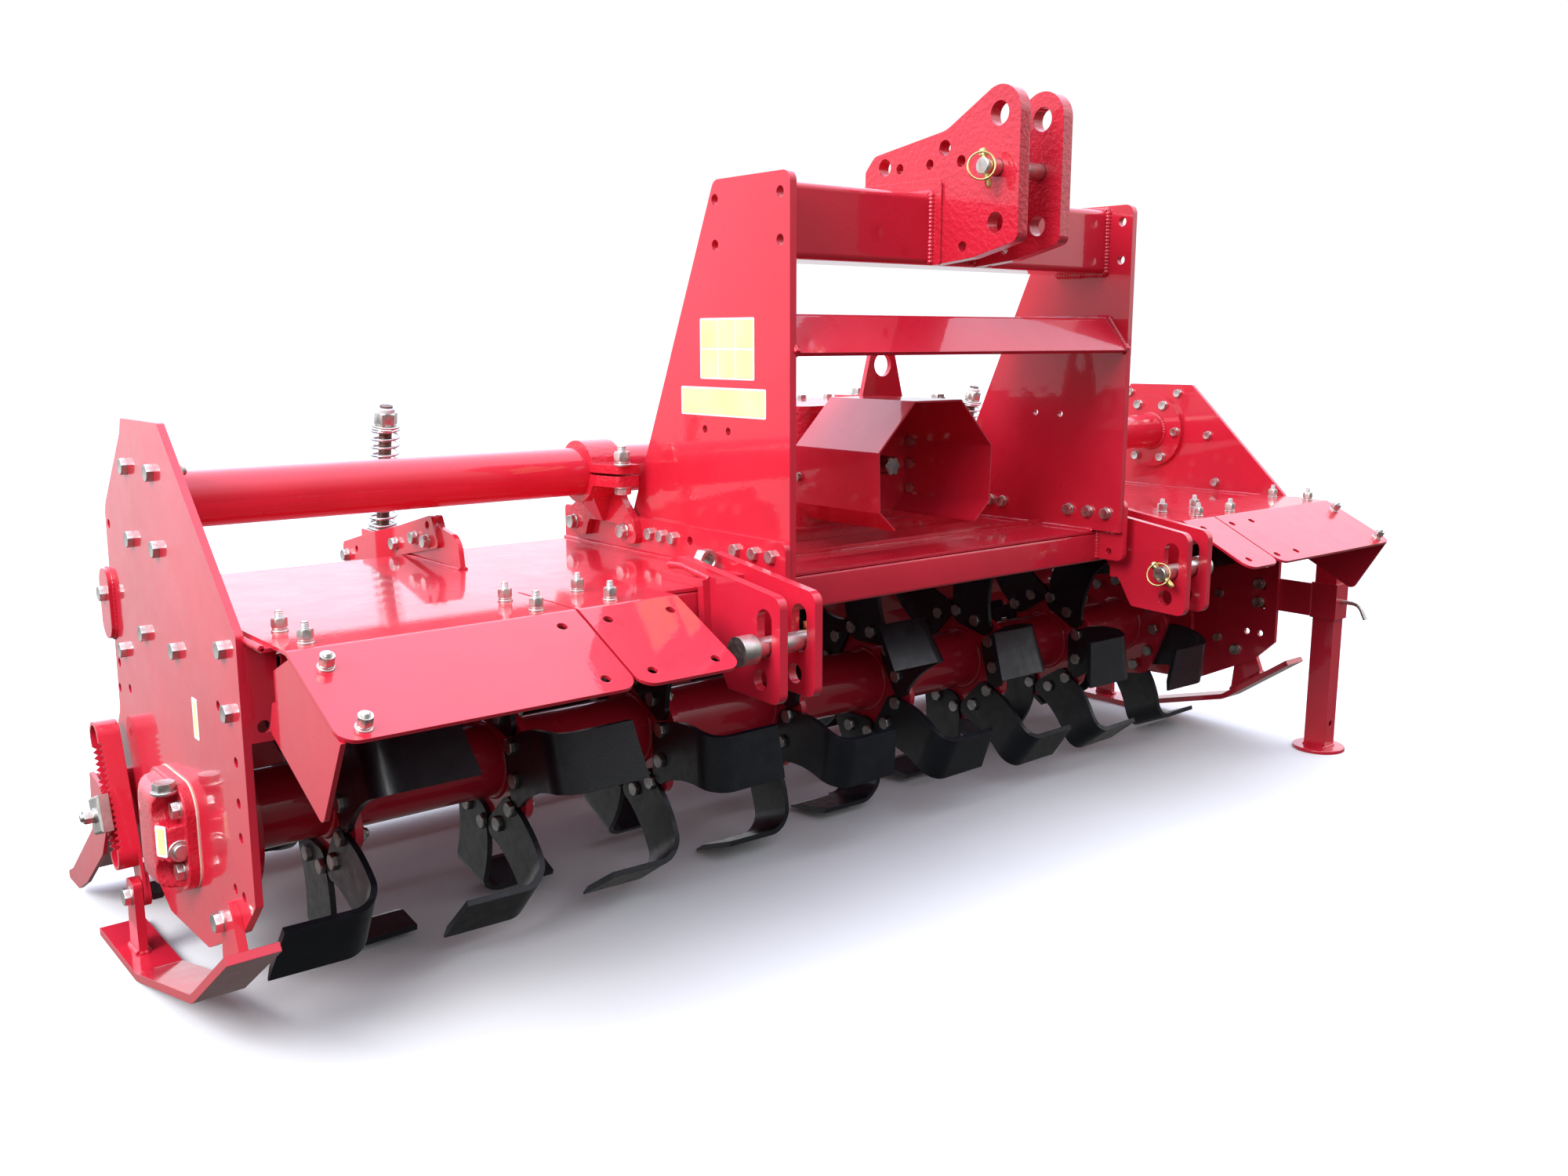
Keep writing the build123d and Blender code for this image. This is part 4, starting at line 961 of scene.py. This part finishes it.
# stand pin: straight out of the leg to the front, then bent down about a point below its axis
STAND_X, PIN_Z, BEND = 1186.0, 344, 24
bend = np.linspace(0, 1.15, 9)
pin_bend = triples(STAND_X, -456 - BEND * np.sin(bend), PIN_Z - BEND + BEND * np.cos(bend))
pin_path = np.concatenate([[[STAND_X, -425.6, PIN_Z], [STAND_X, -456, PIN_Z]], pin_bend,
                           [[STAND_X, -487, 312]]])
zinc_piece("stand_pin", tube(pin_path * MM, 5.0 * MM, 16))


def wide_nut(flats, height, bore):
    """Large hexagon nut about Z with chamfered corners and an open, threaded bore that ends in the
    dark."""
    half = flats / 2
    return turned([(0.56 * flats, 0, half), (CORNER * flats, 0.08 * flats, half),
                   (CORNER * flats, height - 0.09 * flats, half), (0.52 * flats, height, half),
                   (bore + 1.8, height), (bore, height - 1.8), (bore, 3.0)], 36)


clevis_seats = [(side * 475, -296, 595.5) for side in SIDES]
zinc_piece("clevis_nuts", copies(wide_nut(30, 18, 9.6), clevis_seats, FRONT))

# ---- splined input shaft


def splined(outer, root, length, keys=6):
    """Splined shaft about Z: the radius is the outer one over each key and the root between keys,
    eased over the key's flanks, and drawn in at the free end."""
    half_key, steepness, drawn_in = 0.27, 90, 2.0
    angle = full_turn(144)
    phase = np.mod(angle * keys / (2 * np.pi) + 0.5, 1.0) - 0.5
    key = 1 / (1 + np.exp((np.abs(phase) - half_key) * steepness))
    height = np.array([0.0, length - drawn_in, length])[:, None]
    radius = (root + (outer - root) * key)[None, :] - np.array([0.0, 0.0, drawn_in])[:, None]
    return closed_ends(polar(radius, angle, height) * MM)


shaft_collar = turned([(20, 0), (20, 20.5), (19, 21.5), (12, 21.5)], 48)
shaft = joined(copies(shaft_collar, [(0, -128.5, DRIVE_Z)], FRONT),
               copies(splined(17.4, 14.7, 65.5), [(0, -149.5, DRIVE_Z)], FRONT))
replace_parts(piece("splined_shaft", shaft, MACHINED, body="input", smooth=25),
            "input_shaft")

# ---- stage, light, camera


def plain_floor():
    """A wide pale floor at the height the machine stands on, which casts no red back up."""
    half, dark, pale = 60.0, 0.86, 0.88
    material, tree, shader, coords = new_material("pale_floor")
    clouds = ramp(tree, noise(tree, coords, 2.0), [(0.3, (dark,) * 3), (0.7, (pale,) * 3)])
    tree.links.new(clouds, shader.inputs["Base Color"])
    set_sockets(shader, Roughness=0.8)
    mesh = bpy.data.meshes.new("floor")
    corners = [(-half, -half, 0), (half, -half, 0), (half, half, 0), (-half, half, 0)]
    mesh.from_pydata(corners, [], [(0, 1, 2, 3)])
    mesh.materials.append(material)
    floor = shown("floor", mesh)
    floor.visible_diffuse = False
    floor.visible_glossy = False


def soft_light(name, place, size, power, target=(0, 0, 0.5)):
    """A square area light of the given size in metres and power in watts that looks at a target."""
    light = bpy.data.lights.new(name, "AREA")
    light.size = size
    light.energy = power
    lamp = shown(name, light)
    lamp.location = place
    direction = np.array(target, float) - np.array(place, float)
    yaw = math.atan2(-direction[0], direction[1])
    pitch = math.atan2(direction[2], math.hypot(direction[0], direction[1]))
    lamp.rotation_euler = (math.pi / 2 + pitch, 0, yaw)


#             how far up the sky, colour
SKY_STOPS = [(0.0, (0.02, 0.02, 0.02)), (0.33, (0.05, 0.05, 0.05)), (0.46, (0.11, 0.11, 0.11)),
             (0.56, (0.26, 0.26, 0.27)), (0.66, (0.36, 0.37, 0.40)), (0.82, (0.62, 0.66, 0.80)),
             (1.0, (0.74, 0.80, 0.96))]
SKY_WAY, SKY_STRENGTH, BEHIND_STRENGTH = (0.0, 0.30, 0.954), 3.0, 1.05


def pale_sky():
    """A sky that is bright and a little cool overhead and to the rear, soft at the horizon and dim
    below and in front of it: its tone follows a direction that leans back from straight up. It is
    white behind the machine."""
    world = bpy.data.worlds.new("pale_sky")
    world.use_nodes = True
    tree = world.node_tree
    background = set_sockets(tree.nodes["Background"], Strength=SKY_STRENGTH)
    height = new_node(tree, "VectorMath")
    height.operation = "DOT_PRODUCT"
    height.inputs[1].default_value = SKY_WAY
    tree.links.new(new_node(tree, "TexCoord").outputs["Generated"], height.inputs[0])
    scaled = new_node(tree, "MapRange", From_Min=-1.0)
    tree.links.new(height.outputs["Value"], scaled.inputs["Value"])
    tree.links.new(ramp(tree, scaled.outputs["Result"], SKY_STOPS), background.inputs["Color"])
    white = new_node(tree, "Background", Color=(1.0, 1.0, 1.0, 1.0), Strength=BEHIND_STRENGTH)
    seen = new_node(tree, "MixShader")
    ray = new_node(tree, "LightPath")
    tree.links.new(ray.outputs["Is Camera Ray"], seen.inputs["Fac"])
    tree.links.new(background.outputs["Background"], seen.inputs[1])
    tree.links.new(white.outputs["Background"], seen.inputs[2])
    tree.links.new(seen.outputs["Shader"], tree.nodes["World Output"].inputs["Surface"])
    bpy.context.scene.world = world


plain_floor()
pale_sky()
soft_light("key", place=(-4.8, -1.2, 3.6), size=2.6, power=255)
soft_light("fill", place=(4.5, -2.5, 2.5), size=3.0, power=30)
bpy.context.scene.view_settings.view_transform = "Standard"

CAMERA_PLACE, LENS, SENSOR = (-1.660, -1.909, 0.919), 31.12, 36.0
CAMERA_DOWN, CAMERA_YAW = 10.42, -39.80     # degrees below level, degrees from straight ahead
camera_data = bpy.data.cameras.new("camera")
camera_data.sensor_width = SENSOR
camera_data.lens = LENS
camera = shown("camera", camera_data)
camera.location = CAMERA_PLACE
camera.rotation_euler = (math.radians(90.0 - CAMERA_DOWN), 0.0, math.radians(CAMERA_YAW))
bpy.context.scene.camera = camera
